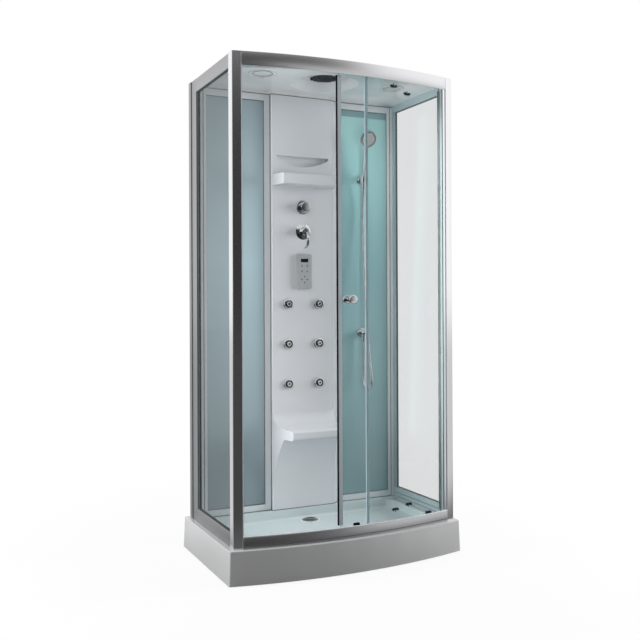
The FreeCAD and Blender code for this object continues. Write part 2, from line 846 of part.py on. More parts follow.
def carriage_places():
    places = []
    for side, angle in (("left", carriage_left_angle), ("right", carriage_right_angle)):
        places.append(("top_" + side, angle, top_z, -1))
        places.append(("bottom_" + side, angle, deck_z, 1))
    return places


def roller_brackets():
    brackets = []
    for name, angle, rail_z, into in carriage_places():
        glass_edge = door_high_z if into < 0 else door_low_z
        axle_z = rail_z + into * wheel_centre_drop
        u0 = door_middle_setback - carriage_plate / 2
        z_tip = axle_z - into * carriage_head
        z_seat = glass_edge - into * seat_clearance
        z_grip = glass_edge + into * carriage_grip
        y0 = front_point(u0, 0).y
        half = carriage_width / 2
        plate = block(-half, half, y0, y0 + carriage_plate, min(z_tip, z_seat), max(z_tip, z_seat))
        tips = [edge for edge in plate.Edges if abs(edge.Length - carriage_plate) < 1e-6
                and abs(edge.BoundBox.ZMin - z_tip) < 1e-6]
        plate = plate.makeFillet(carriage_head / 2, tips)
        cheeks = []
        for u in (door_setback - seat_clearance - carriage_cheek, door_inner + seat_clearance):
            y = front_point(u, 0).y
            cheeks.append(block(-half, half, y, y + carriage_cheek, min(z_grip, z_seat), max(z_grip, z_seat)))
        y_bridge = front_point(door_setback - seat_clearance - carriage_cheek, 0).y
        bridge_depth = door_thickness + 2 * (seat_clearance + carriage_cheek)
        z_bridge = z_seat - into * carriage_cheek
        bridge = block(-half, half, y_bridge, y_bridge + bridge_depth, min(z_bridge, z_seat), max(z_bridge, z_seat))
        wheel_u = door_inner + wheel_gap
        axle_start = front_point(door_middle_setback, axle_z)
        axle_length = wheel_u + wheel_width + wheel_hub_height + seat_clearance - door_middle_setback
        axle = rod(axle_radius, axle_length, axle_start, inward)
        cap = rod(axle_cap_radius, axle_cap_length, axle_start + inward * axle_length, inward)
        brackets.append(on_bow(join([plate, bridge, axle, cap] + cheeks), angle))
    return Part.makeCompound(brackets)


def roller_wheel(angle, rail_z, into):
    start = front_point(door_inner + wheel_gap, rail_z + into * wheel_centre_drop)
    tyre = rod(wheel_radius, wheel_width, start, inward)
    middle = start + inward * (wheel_width / 2)
    groove = Part.makeTorus(wheel_radius + wheel_groove, 2 * wheel_groove, middle, inward)
    hub = rod(wheel_hub_radius, wheel_width + 2 * wheel_hub_height, start - inward * wheel_hub_height, inward)
    bore = rod(axle_radius + axle_clearance, wheel_width + 2 * overrun, start - inward * overrun, inward)
    return on_bow(tyre.cut(groove).fuse(hub).cut(bore), angle)


def door_guides():
    low = guide_block(door_inner, deck_z + door_guide_rise, -1)
    high = guide_block(door_inner, top_z - door_guide_drop, 1)
    return Part.makeCompound([on_bow(low, door_guide_angle), on_bow(high, door_guide_angle)])


# back wall
frame_low_z = deck_z + platform_height
frame_high_z = frame_low_z + wall_frame_height
frame_inner_x = column_width / 2 + seat_clearance
frame_outer_x = side_rail_inner_x - seat_clearance


def wall_frame():
    outer = block(frame_inner_x, frame_outer_x, wall_y, wall_y + wall_frame_depth, frame_low_z, frame_high_z)
    x0, x1 = frame_inner_x + wall_frame_member, frame_outer_x - wall_frame_member
    z0, z1 = frame_low_z + wall_frame_member, frame_high_z - wall_frame_member
    light = block(x0, x1, wall_y - overrun, wall_y + wall_frame_depth + overrun, z0, z1)
    rebate = block(x0 - panel_grip - seat_clearance, x1 + panel_grip + seat_clearance, wall_y + panel_setback - seat_clearance,
                   wall_y + panel_setback + panel_thickness + seat_clearance, z0 - panel_grip - seat_clearance,
                   z1 + panel_grip + seat_clearance)
    front = [edge for edge in light.Edges if edge.BoundBox.YMax < wall_y]
    return outer.cut(light).cut(rebate), front


def back_wall_frames():
    frame = wall_frame()[0]
    return Part.makeCompound([frame, mirrored(frame)])


def wall_panel():
    grip = wall_frame_member - panel_grip
    y0 = wall_y + panel_setback
    return block(frame_inner_x + grip, frame_outer_x - grip, y0, y0 + panel_thickness, frame_low_z + grip, frame_high_z - grip)


# moulded column
def column_profile(inset):
    top_seat = deck_z + seat_height
    face = face_y + inset
    lines = []

    def line(y0, z0, y1, z1):
        lines.append(Part.makeLine(vec(0, y0, z0), vec(0, y1, z1)))

    def arc(y0, z0, ym, zm, y1, z1):
        lines.append(Part.Arc(vec(0, y0, z0), vec(0, ym, zm), vec(0, y1, z1)).toShape())

    foot_z = frame_low_z
    back = wall_y + wall_frame_depth + column_shell
    nose_y = face_y - seat_reach + inset
    nose_r = seat_nose_radius - inset
    z_under = top_seat - seat_nose + inset
    leg_y = face_y - leg_reach + inset
    z_leg = deck_z + leg_foot_height
    line(back, foot_z, face, foot_z)
    line(face, foot_z, face, z_leg)
    arc(face, z_leg, face - (leg_reach * 0.28), (z_leg + z_under) / 2 + leg_foot_blend, leg_y, z_under)
    line(leg_y, z_under, nose_y + nose_r, z_under)
    half_root = nose_r * (1 - math.sqrt(0.5))
    arc(nose_y + nose_r, z_under, nose_y + half_root, z_under + half_root, nose_y, z_under + nose_r)
    z_nose = top_seat - inset
    line(nose_y, z_under + nose_r, nose_y, z_nose - nose_r)
    arc(nose_y, z_nose - nose_r, nose_y + half_root, z_nose - half_root, nose_y + nose_r, z_nose)
    cove_r = seat_cove_radius + inset
    cove_z = z_nose + seat_rise
    line(nose_y + nose_r, z_nose, face - cove_r, cove_z)
    cove_part = cove_r * math.sqrt(0.5)
    arc(face - cove_r, cove_z, face - cove_r + cove_part, cove_z + cove_r - cove_part, face, cove_z + cove_r)
    z_shelf = deck_z + shelf_height + inset
    z_shelf_top = deck_z + shelf_height + shelf_thickness - inset
    shelf_y = face_y - shelf_reach + inset
    shelf_r = shelf_nose_radius - inset
    shelf_part = shelf_r * (1 - math.sqrt(0.5))
    line(face, cove_z + cove_r, face, z_shelf)
    line(face, z_shelf, shelf_y + shelf_r, z_shelf)
    arc(shelf_y + shelf_r, z_shelf, shelf_y + shelf_part, z_shelf + shelf_part, shelf_y, z_shelf + shelf_r)
    line(shelf_y, z_shelf + shelf_r, shelf_y, z_shelf_top - shelf_r)
    arc(shelf_y, z_shelf_top - shelf_r, shelf_y + shelf_part, z_shelf_top - shelf_part, shelf_y + shelf_r, z_shelf_top)
    line(shelf_y + shelf_r, z_shelf_top, face, z_shelf_top)
    line(face, z_shelf_top, face, frame_high_z)
    line(face, frame_high_z, back, frame_high_z)
    line(back, frame_high_z, back, foot_z)
    return Part.Face(Part.Wire(lines))


def side_taper(inset, reach, front_width, z0, z1):
    y_front = face_y - reach + inset
    face = face_y + inset
    half = column_width / 2 - inset
    front_half = front_width / 2 - inset
    plan = [vec(half, face, z0), vec(front_half, y_front, z0), vec(front_half, y_front - overrun, z0),
            vec(half + overrun, y_front - overrun, z0), vec(half + overrun, face, z0)]
    return prism(plan, vec(0, 0, z1 - z0))


def column_solid(inset):
    half = column_width / 2 - inset
    solid = column_profile(inset).extrude(vec(2 * half, 0, 0))
    solid.translate(vec(-half, 0, 0))
    seat_top = deck_z + seat_height + seat_cove_radius + overrun
    shelf_low = deck_z + shelf_height - overrun
    shelf_top = deck_z + shelf_height + shelf_thickness + overrun
    tapers = [side_taper(inset, seat_reach, seat_front_width, frame_low_z - overrun, seat_top),
              side_taper(inset, shelf_reach, shelf_front_width, shelf_low, shelf_top)]
    return solid.cut(tapers + [mirrored(taper) for taper in tapers])


def niche_block(grow, depth):
    half = niche_width / 2 + grow
    z_top = deck_z + niche_top + grow
    z_side = deck_z + niche_top - niche_side_drop - grow
    z_mid = deck_z + niche_top - niche_middle_drop - grow
    top = Part.makeLine(vec(-half, face_y, z_top), vec(half, face_y, z_top))
    right = Part.makeLine(vec(half, face_y, z_top), vec(half, face_y, z_side))
    bottom = Part.Arc(vec(half, face_y, z_side), vec(0, face_y, z_mid), vec(-half, face_y, z_side)).toShape()
    left = Part.makeLine(vec(-half, face_y, z_side), vec(-half, face_y, z_top))
    return Part.Face(Part.Wire([top, right, bottom, left])).extrude(vec(0, depth, 0))


def column_bores():
    bores = [rod(spindle_radius + glazing_gap, 2 * overrun, vec(0, face_y - overrun, deck_z + diverter_height), inward),
             rod(mixer_neck_radius + glazing_gap, 2 * overrun, vec(0, face_y - overrun, deck_z + mixer_height), inward)]
    gland_z = deck_z + panel_height + panel_length / 2
    bores.append(rod(cable_gland_radius, 2 * overrun, vec(0, face_y - overrun, gland_z), inward))
    for x, z in jet_places():
        bores.append(rod(jet_cup_radius, 2 * overrun, vec(x, face_y - overrun, z), inward))
    return bores


def centre_column():
    outer = column_solid(0)
    inner = column_solid(column_shell)
    inner.translate(vec(0, seat_clearance, 0))
    half = column_width / 2 - column_shell
    back = wall_y + wall_frame_depth + column_shell
    rear = block(-half, half, back - column_shell - seat_clearance, back + overrun, frame_low_z - overrun, frame_high_z + overrun)
    body = outer.cut([inner, rear])
    y_flange = wall_y + wall_frame_depth + seat_clearance
    flange_x = column_width / 2 + column_flange
    flanges = [block(half, flange_x, y_flange, back, frame_low_z, frame_high_z)]
    flanges.append(mirrored(flanges[0]))
    pocket_wall = niche_block(column_shell, niche_depth + column_shell)
    pocket = niche_block(0, niche_depth)
    pocket.translate(vec(0, -seat_clearance, 0))
    body = body.fuse(flanges + [pocket_wall]).cut([pocket] + column_bores())
    screws = [rod(screw_radius, 2 * overrun, vec(x, y_flange - overrun, z), inward) for x, z in screw_places()]
    return body.cut(screws)


def screw_places():
    x = column_width / 2 + column_flange - 2 * screw_head_radius
    first = frame_low_z + screw_end_margin
    pitch = (frame_high_z - frame_low_z - 2 * screw_end_margin) / (screw_rows - 1)
    return [(side * x, first + i * pitch) for side in (-1, 1) for i in range(screw_rows)]


def column_screws():
    y_seat = wall_y + wall_frame_depth + column_shell
    screws = []
    for x, z in screw_places():
        head = rod(screw_head_radius, screw_head_height, vec(x, y_seat, z), inward)
        head = head.makeChamfer(screw_head_height / 3, [edge for edge in head.Edges if edge.BoundBox.YMin > y_seat + 1e-3
                                                        and edge.Length > screw_head_radius * 6])
        shank = rod(screw_radius, column_shell, vec(x, y_seat - column_shell, z), inward)
        screws.append(join([head, shank]))
    return Part.makeCompound(screws)


# roof
def roof_panel():
    radius = bow_radius - rail_depth - seat_clearance
    x = side_rail_inner_x - seat_clearance
    y_back = back_y - post_width - seat_clearance
    y_front = axis_y - math.sqrt(radius ** 2 - x ** 2)

    def plate(inset, z0, z1):
        r = radius - inset
        xi = x - inset
        yf = axis_y - math.sqrt(r ** 2 - xi ** 2)
        arc = Part.Arc(vec(-xi, yf, z0), vec(0, axis_y - r, z0), vec(xi, yf, z0)).toShape()
        sides = [Part.makeLine(vec(xi, yf, z0), vec(xi, y_back - inset, z0)),
                 Part.makeLine(vec(xi, y_back - inset, z0), vec(-xi, y_back - inset, z0)),
                 Part.makeLine(vec(-xi, y_back - inset, z0), vec(-xi, yf, z0))]
        return Part.Face(Part.Wire([arc] + sides)).extrude(vec(0, 0, z1 - z0))

    sheet = plate(0, roof_z, roof_z + roof_upstand)
    tray = plate(roof_sheet, roof_z + roof_sheet, roof_z + roof_upstand + overrun)
    notch_x = post_inner_x - seat_clearance
    notch_y = front_y + post_width + seat_clearance
    reach = half_width + overrun
    notches = [block(notch_x, reach, y_front - overrun, notch_y, roof_z - overrun, top_z + overrun)]
    notches.append(mirrored(notches[0]))
    walls = [block(notch_x - roof_sheet, x, y_front, notch_y + roof_sheet, roof_z, roof_z + roof_upstand)]
    walls.append(mirrored(walls[0]))
    rain_wall = Part.makeCone(rain_recess_radius + roof_sheet, rain_dome_radius + roof_sheet, rain_recess_height + roof_sheet,
                              vec(0, rain_y, roof_z), up)
    dome_top = roof_z + rain_recess_height
    body = sheet.cut(tray).fuse(walls + [rain_wall]).common(plate(0, roof_z - overrun, dome_top + overrun))
    recess = Part.makeCone(rain_recess_radius, rain_dome_radius, rain_recess_height, vec(0, rain_y, roof_z), up)
    stub = rod(rain_stub_radius, 2 * overrun, vec(0, rain_y, dome_top - overrun), up)
    lamp = rod(lamp_body_radius, 2 * overrun, vec(-roof_disc_x, roof_disc_y, roof_z - overrun), up)
    speaker = rod(lamp_body_radius, 2 * overrun, vec(roof_disc_x, roof_disc_y, roof_z - overrun), up)
    return body.cut(notches + [recess, stub, lamp, speaker]).removeSplitter()


def rain_head():
    base = roof_z + rain_recess_height - rain_head_thickness - rain_head_drop
    disc = rod(rain_head_radius, rain_head_thickness, vec(0, rain_y, base), up)
    disc = disc.makeFillet(rain_head_thickness / 4, disc.Edges[0:1])
    collar = rod(rain_nut_radius, rain_head_drop, vec(0, rain_y, base + rain_head_thickness), up)
    stub = rod(rain_stub_radius - seat_clearance, rain_stub_length, vec(0, rain_y, base + rain_head_thickness), up)
    nut = hexagon(rain_nut_radius, rain_nut_height, vec(0, rain_y, roof_z + rain_recess_height + roof_sheet))
    return join([disc, collar, stub, nut])


def roof_lamp():
    base = roof_z - lamp_drop
    rim = rod(lamp_radius, lamp_drop, vec(-roof_disc_x, roof_disc_y, base), up)
    body = rod(lamp_body_radius - seat_clearance, lamp_body_height, vec(-roof_disc_x, roof_disc_y, base), up)
    lens = rod(lamp_radius - lamp_rim, lamp_lens_recess, vec(-roof_disc_x, roof_disc_y, base), up)
    return join([rim, body]).cut(lens)


def roof_speaker():
    base = roof_z - lamp_drop
    rim = rod(speaker_radius, lamp_drop, vec(roof_disc_x, roof_disc_y, base), up)
    body = rod(lamp_body_radius - seat_clearance, speaker_body_height, vec(roof_disc_x, roof_disc_y, base), up)
    slots = []
    for i in range(speaker_slots):
        y = roof_disc_y + (i - (speaker_slots - 1) / 2) * speaker_slot_pitch
        half = math.sqrt((lamp_body_radius - lamp_rim / 2) ** 2 - (y - roof_disc_y) ** 2)
        slots.append(block(roof_disc_x - half, roof_disc_x + half, y - speaker_slot / 2, y + speaker_slot / 2,
                           base - overrun, base + speaker_slot))
    return join([rim, body]).cut(slots)


# fittings on the column
def diverter_flange():
    plate = rod(diverter_flange_radius, diverter_flange_thickness, vec(0, face_y, deck_z + diverter_height), outward)
    rim = [edge for edge in plate.Edges if edge.BoundBox.YMax < face_y - 1e-3 and edge.Length > 1]
    plate = plate.makeFillet(diverter_flange_thickness / 3, rim)
    return plate.cut(rod(spindle_radius + axle_clearance, 2 * overrun, vec(0, face_y + overrun, deck_z + diverter_height), outward))


def diverter_knob():
    z = deck_z + diverter_height
    y0 = face_y - diverter_flange_thickness - seat_clearance
    grip = rod(diverter_knob_radius, diverter_knob_length, vec(0, y0, z), outward)
    rim = [edge for edge in grip.Edges if edge.BoundBox.YMax < y0 - 1e-3 and edge.Length > 1]
    grip = grip.makeFillet(knob_edge_radius, rim)
    flutes = []
    for i in range(diverter_grips):
        a = math.radians(360 * (i + 0.5) / diverter_grips)
        r = diverter_knob_radius + diverter_grip_radius / 2
        flutes.append(rod(diverter_grip_radius, diverter_knob_length + overrun,
                          vec(r * math.cos(a), y0 - diverter_knob_length / 4, z + r * math.sin(a)), outward))
    spindle_length = diverter_flange_thickness + column_shell + valve_from_wall / 2
    spindle = rod(spindle_radius, spindle_length, vec(0, y0, z), inward)
    return grip.cut(flutes).fuse(spindle).removeSplitter()


def mixer_escutcheon():
    z = deck_z + mixer_height
    plate = Part.makeCone(mixer_plate_radius, mixer_neck_radius + mixer_plate_thickness, mixer_plate_thickness,
                          vec(0, face_y, z), outward)
    neck = rod(mixer_neck_radius, valve_from_wall, vec(0, face_y, z), inward)
    return plate.fuse(neck).cut(rod(spindle_radius + axle_clearance, valve_from_wall + 2 * overrun,
                                    vec(0, face_y - overrun, z), inward))


lever_pivot_y = face_y - mixer_plate_thickness - seat_clearance - mixer_cap_length * 0.55


def mixer_cap():
    z = deck_z + mixer_height
    y0 = face_y - mixer_plate_thickness - seat_clearance
    cap = rod(mixer_cap_radius, mixer_cap_length, vec(0, y0, z), outward)
    rim = [edge for edge in cap.Edges if edge.BoundBox.YMax < y0 - 1e-3 and edge.Length > 1]
    cap = cap.makeFillet(mixer_cap_radius / 3, rim)
    half = mixer_slot_width / 2 + seat_clearance
    slot = block(-half, half, y0 - mixer_cap_length - overrun, lever_pivot_y + lever_thickness, z - mixer_cap_radius - overrun,
                 z + mixer_slot_rise)
    spindle = rod(spindle_radius, valve_from_wall / 2, vec(0, y0, z), inward)
    pin = rod(lever_pivot_radius, 2 * half, vec(-half, lever_pivot_y, z), vec(1, 0, 0))
    return cap.cut(slot).fuse([spindle, pin]).removeSplitter()


def mixer_lever():
    z = deck_z + mixer_height
    half = lever_width / 2
    x_axis = vec(1, 0, 0)
    eye = rod(lever_eye_radius, lever_width, vec(-half, lever_pivot_y, z), x_axis)
    y_reach = lever_pivot_y - lever_reach + mixer_cap_length / 2
    outer = [vec(-half, lever_pivot_y, z + lever_thickness / 2), vec(-half, y_reach, z - mixer_cap_radius / 2),
             vec(-half, y_reach + lever_tip_back, z - lever_length)]
    arc = Part.Arc(outer[0], outer[1], outer[2])
    centre = arc.toShape().Curve.Center
    share = (arc.toShape().Curve.Radius - lever_thickness) / arc.toShape().Curve.Radius
    inner = [centre + (point - centre) * share for point in outer]
    edges = [arc.toShape(), Part.makeLine(outer[2], inner[2]),
             Part.Arc(inner[2], inner[1], inner[0]).toShape(), Part.makeLine(inner[0], outer[0])]
    blade = Part.Face(Part.Wire(edges)).extrude(vec(lever_width, 0, 0))
    blade = blade.makeFillet(lever_thickness / 4, [edge for edge in blade.Edges if edge.Length > lever_length * 0.8])
    bore = rod(lever_pivot_radius + axle_clearance, cabin_width, vec(-half_width, lever_pivot_y, z), x_axis)
    return join([blade, eye]).cut(bore)


def rounded_plate(x0, x1, z0, z1, y_back, thickness, radius):
    plate = block(x0, x1, y_back - thickness, y_back, z0, z1)
    corners = [edge for edge in plate.Edges if abs(edge.BoundBox.YLength - thickness) < 1e-6
               and edge.BoundBox.XLength < 1e-6 and edge.BoundBox.ZLength < 1e-6]
    return plate.makeFillet(radius, corners)


def display_window(grow, depth):
    z1 = deck_z + panel_height + panel_length - display_from_top + display_height / 2
    return block(-display_width / 2 - grow, display_width / 2 + grow, face_y - panel_body_thickness,
                 face_y - panel_body_thickness + depth, z1 - display_height - grow, z1 + grow)


def control_panel():
    z0 = deck_z + panel_height
    z1 = z0 + panel_length
    plate = rounded_plate(-panel_width / 2, panel_width / 2, z0, z1, face_y, panel_body_thickness, panel_corner_radius)
    front = [edge for edge in plate.Edges if edge.BoundBox.YMax < face_y - panel_body_thickness + 1e-3]
    plate = plate.makeFillet(display_thickness, front)
    y_front = face_y - panel_body_thickness
    keys = []
    for drop in (key_row_first, key_row_second):
        for x in (-key_spread / 2, key_spread / 2):
            keys.append(rod(key_radius, 2 * key_rise, vec(x, y_front + key_rise, z1 - drop), outward))
    pad = rod(pad_radius, 2 * key_rise, vec(0, y_front + key_rise, z1 - pad_from_top), outward)
    pad_core = rod(pad_radius / 3, 4 * key_rise, vec(0, y_front + key_rise, z1 - pad_from_top), outward)
    gland = rod(cable_gland_radius - seat_clearance, cable_gland_length, vec(0, face_y, (z0 + z1) / 2), inward)
    body = plate.fuse(keys + [pad, gland]).cut(pad_core.common(pad))
    return body.cut(display_window(0, display_thickness)).removeSplitter()


def panel_display():
    return display_window(-seat_clearance / 2, display_thickness)


def jet_places():
    places = []
    for i in range(jet_rows):
        for side in (-1, 1):
            places.append((side * jet_spread, deck_z + jet_first_height + i * jet_pitch))
    return places


def ball_centre(x, z):
    return vec(x, face_y + column_shell, z)


def jet_bezels():
    bezels = []
    for x, z in jet_places():
        flange = rod(jet_bezel_radius, jet_bezel_thickness, vec(x, face_y, z), outward)
        rim = [edge for edge in flange.Edges if edge.BoundBox.YMax < face_y - 1e-3 and edge.Length > 1]
        flange = flange.makeFillet(jet_bezel_thickness / 3, rim)
        cup_depth = jet_ball_radius + jet_ball_clearance + column_shell + 2 * rail_skin
        cup = rod(jet_cup_radius - seat_clearance, cup_depth, vec(x, face_y, z), inward)
        tail = rod(jet_tail_radius, jet_tail_length, vec(x, face_y, z), inward)
        nut = hexagon_y(jet_nut_radius, jet_nut_height, vec(x, face_y + column_shell + seat_clearance, z))
        socket = Part.makeSphere(jet_ball_radius + jet_ball_clearance, ball_centre(x, z))
        mouth = rod(jet_mouth_radius + jet_ball_clearance, jet_bezel_thickness + overrun, ball_centre(x, z), outward)
        flare = Part.makeCone(jet_mouth_radius, jet_bezel_radius * 0.8, jet_bezel_thickness + column_shell,
                              ball_centre(x, z), outward)
        bore = rod(jet_tail_radius / 2, jet_tail_length + overrun, vec(x, face_y, z), inward)
        bezels.append(join([flange, cup, tail, nut]).cut([socket, mouth, flare, bore]))
    return Part.makeCompound(bezels)


def hexagon_y(radius, height, base):
    corners = [vec(base.x + radius * math.cos(math.radians(60 * i)), base.y,
                   base.z + radius * math.sin(math.radians(60 * i))) for i in range(6)]
    return prism(corners, vec(0, height, 0))


def jet_nozzle(x, z):
    centre = ball_centre(x, z)
    ball = Part.makeSphere(jet_ball_radius, centre)
    slab = block(x - jet_ball_radius, x + jet_ball_radius, centre.y - jet_ball_radius * 0.8, centre.y + jet_ball_radius * 0.75,
                 z - jet_ball_radius, z + jet_ball_radius)
    nose = rod(jet_nozzle_radius * 0.8, jet_ball_radius + jet_nozzle_reach, centre, outward)
    face = rod(jet_nozzle_radius * 0.55, jet_nozzle_reach, centre + outward * (jet_ball_radius + jet_nozzle_reach * 0.6), outward)
    return ball.common(slab).fuse(nose).cut(face)


# hand shower
hand_z = deck_z + clip_height
clip_y = wall_y - clip_from_wall
clip_centre = vec(hand_x, clip_y, hand_z)
lean = math.radians(hand_lean)
handle_axis = vec(0, -math.sin(lean), math.cos(lean))
panel_y = wall_y + panel_setback


def holder_base():
    base = rod(holder_base_radius, holder_base_thickness, vec(hand_x, panel_y, hand_z), outward)
    rim = [edge for edge in base.Edges if edge.BoundBox.YMax < panel_y - 1e-3 and edge.Length > 1]
    base = base.makeFillet(holder_base_thickness / 3, rim)
    stem = rod(holder_stem_radius, panel_y - clip_y - clip_ring_radius / 2, vec(hand_x, panel_y, hand_z), outward)
    low = clip_centre - handle_axis * (clip_ring_height / 2)
    ring = rod(clip_ring_radius, clip_ring_height, low, handle_axis)
    rise = handle_seat_taper * clip_ring_height / 20
    seat = Part.makeCone(handle_seat_radius + handle_seat_gap - rise, handle_seat_radius + handle_seat_gap + rise,
                         clip_ring_height, low, handle_axis)
    mouth = block(hand_x - clip_mouth / 2, hand_x + clip_mouth / 2, clip_y - 2 * clip_ring_radius, clip_y,
                  hand_z - 2 * clip_ring_height, hand_z + 2 * clip_ring_height)
    bore = rod(handle_seat_radius + handle_seat_gap - rise, clip_ring_height + 2 * overrun, low - handle_axis * overrun, handle_axis)
    return join([base, stem, ring]).cut([seat, bore, mouth])


def hand_shower():
    rise = handle_seat_taper * clip_ring_height / 20
    low = clip_centre - handle_axis * (clip_ring_height / 2)
    high = clip_centre + handle_axis * (clip_ring_height / 2)
    tail_length = handle_tail - clip_ring_height / 2
    tail = rod(handle_seat_radius - rise, tail_length, low, handle_axis * -1)
    seat = Part.makeCone(handle_seat_radius - rise, handle_seat_radius + rise, clip_ring_height, low, handle_axis)
    stop = Part.makeCone(clip_ring_radius * 0.72, clip_ring_radius * 0.6, handle_seat_taper * 5,
                         high + handle_axis * seat_clearance, handle_axis)
    grip = Part.makeCone(handle_seat_radius + rise, handle_top_radius, handle_length - clip_ring_height / 2, high, handle_axis)
    nut = rod(hose_nut_radius, hose_nut_length, low - handle_axis * tail_length, handle_axis * -1)
    neck = clip_centre + handle_axis * handle_length
    tilt = math.radians(spray_tilt)
    spray_axis = vec(0, -math.sin(tilt), -math.cos(tilt))
    spray_up = vec(0, -math.cos(tilt), math.sin(tilt))
    centre = neck + spray_up * (spray_radius * 0.86)
    back = centre - spray_axis * (spray_thickness * 0.55)
    crown = Part.makeCone(spray_radius * 0.55, spray_radius, spray_thickness * 0.6, back, spray_axis)
    rim = rod(spray_radius, spray_thickness * 0.4, back + spray_axis * (spray_thickness * 0.6), spray_axis)
    face = rod(spray_face_radius, spray_face_rise, back + spray_axis * spray_thickness, spray_axis)
    ball = Part.makeSphere(handle_top_radius * 1.15, neck)
    return join([tail, seat, stop, grip, nut, ball, crown, rim, face])


def wall_outlet():
    z = deck_z + outlet_height
    flange = rod(outlet_flange_radius, outlet_flange_thickness, vec(hand_x, panel_y, z), outward)
    rim = [edge for edge in flange.Edges if edge.BoundBox.YMax < panel_y - 1e-3 and edge.Length > 1]
    flange = flange.makeFillet(outlet_flange_thickness / 3, rim)
    elbow_y = wall_y - outlet_from_wall
    arm = rod(outlet_arm_radius, panel_y - elbow_y, vec(hand_x, panel_y, z), outward)
    ball = Part.makeSphere(outlet_ball_radius, vec(hand_x, elbow_y, z))
    drop = rod(outlet_arm_radius, outlet_drop - hose_nut_length, vec(hand_x, elbow_y, z), up * -1)
    nut = rod(hose_nut_radius + glazing_gap, hose_nut_length, vec(hand_x, elbow_y, z - outlet_drop), up)
    return join([flange, arm, ball, drop, nut])


def shower_hose():
    points = [vec(*p) for p in hose_route]
    edges = []
    start = points[0]
    tightest = None
    for before, corner, after in zip(points, points[1:], points[2:]):
        a = before - corner
        b = after - corner
        turn = math.pi - a.getAngle(b)
        reach = hose_bend_share * min(a.Length, b.Length)
        radius = reach / math.tan(turn / 2)
        tightest = radius if tightest is None else min(tightest, radius)
        one = corner + a.normalize() * reach
        two = corner + b.normalize() * reach
        bisector = (a + b).normalize()
        centre = corner + bisector * (radius / math.cos(turn / 2))
        middle = centre - bisector * radius
        edges.append(Part.makeLine(start, one))
        edges.append(Part.Arc(one, middle, two).toShape())
        start = two
    edges.append(Part.makeLine(start, points[-1]))
    path = Part.Wire(edges)
    ring = Part.Wire([Part.makeCircle(hose_radius, points[0], points[1] - points[0])])
    tube = path.makePipeShell([ring], True, False)
    print("hose length", round(path.Length, 1), "tightest bend", round(tightest, 1),
          "volume share", round(tube.Volume / (math.pi * hose_radius ** 2 * path.Length), 4))
    return tube


# water supply behind the column
def mixer_valve():
    y = face_y + valve_from_wall + valve_radius
    solids = []
    for z in (deck_z + mixer_height, deck_z + diverter_height):
        solids.append(rod(valve_radius, valve_width, vec(-valve_width / 2, y, z), vec(1, 0, 0)))
    z_mix = deck_z + mixer_height
    z_div = deck_z + diverter_height
    for x in (-inlet_spread / 2, inlet_spread / 2):
        solids.append(rod(pipe_radius, z_div - z_mix, vec(x, y, z_mix), up))
    y_end = back_y + tray_lip - inlet_setback
    for x in (-inlet_spread, inlet_spread):
        shoulder_length = y_end - inlet_thread_length - y
        solids.append(rod(inlet_shoulder_radius, shoulder_length, vec(x, y, z_mix), inward))
        solids.append(rod(inlet_radius, shoulder_length + inlet_thread_length, vec(x, y, z_mix), inward))
        solids.append(Part.makeSphere(valve_radius, vec(x, y, z_mix)))
    sockets = [rod(spindle_radius + axle_clearance, valve_from_wall, vec(0, face_y + overrun / 4, z_div), inward)]
    seats = [rod(valve_radius, valve_from_wall - column_shell - glazing_gap, vec(0, face_y + column_shell + glazing_gap, z_div), inward)]
    return join(solids + seats).cut(sockets)


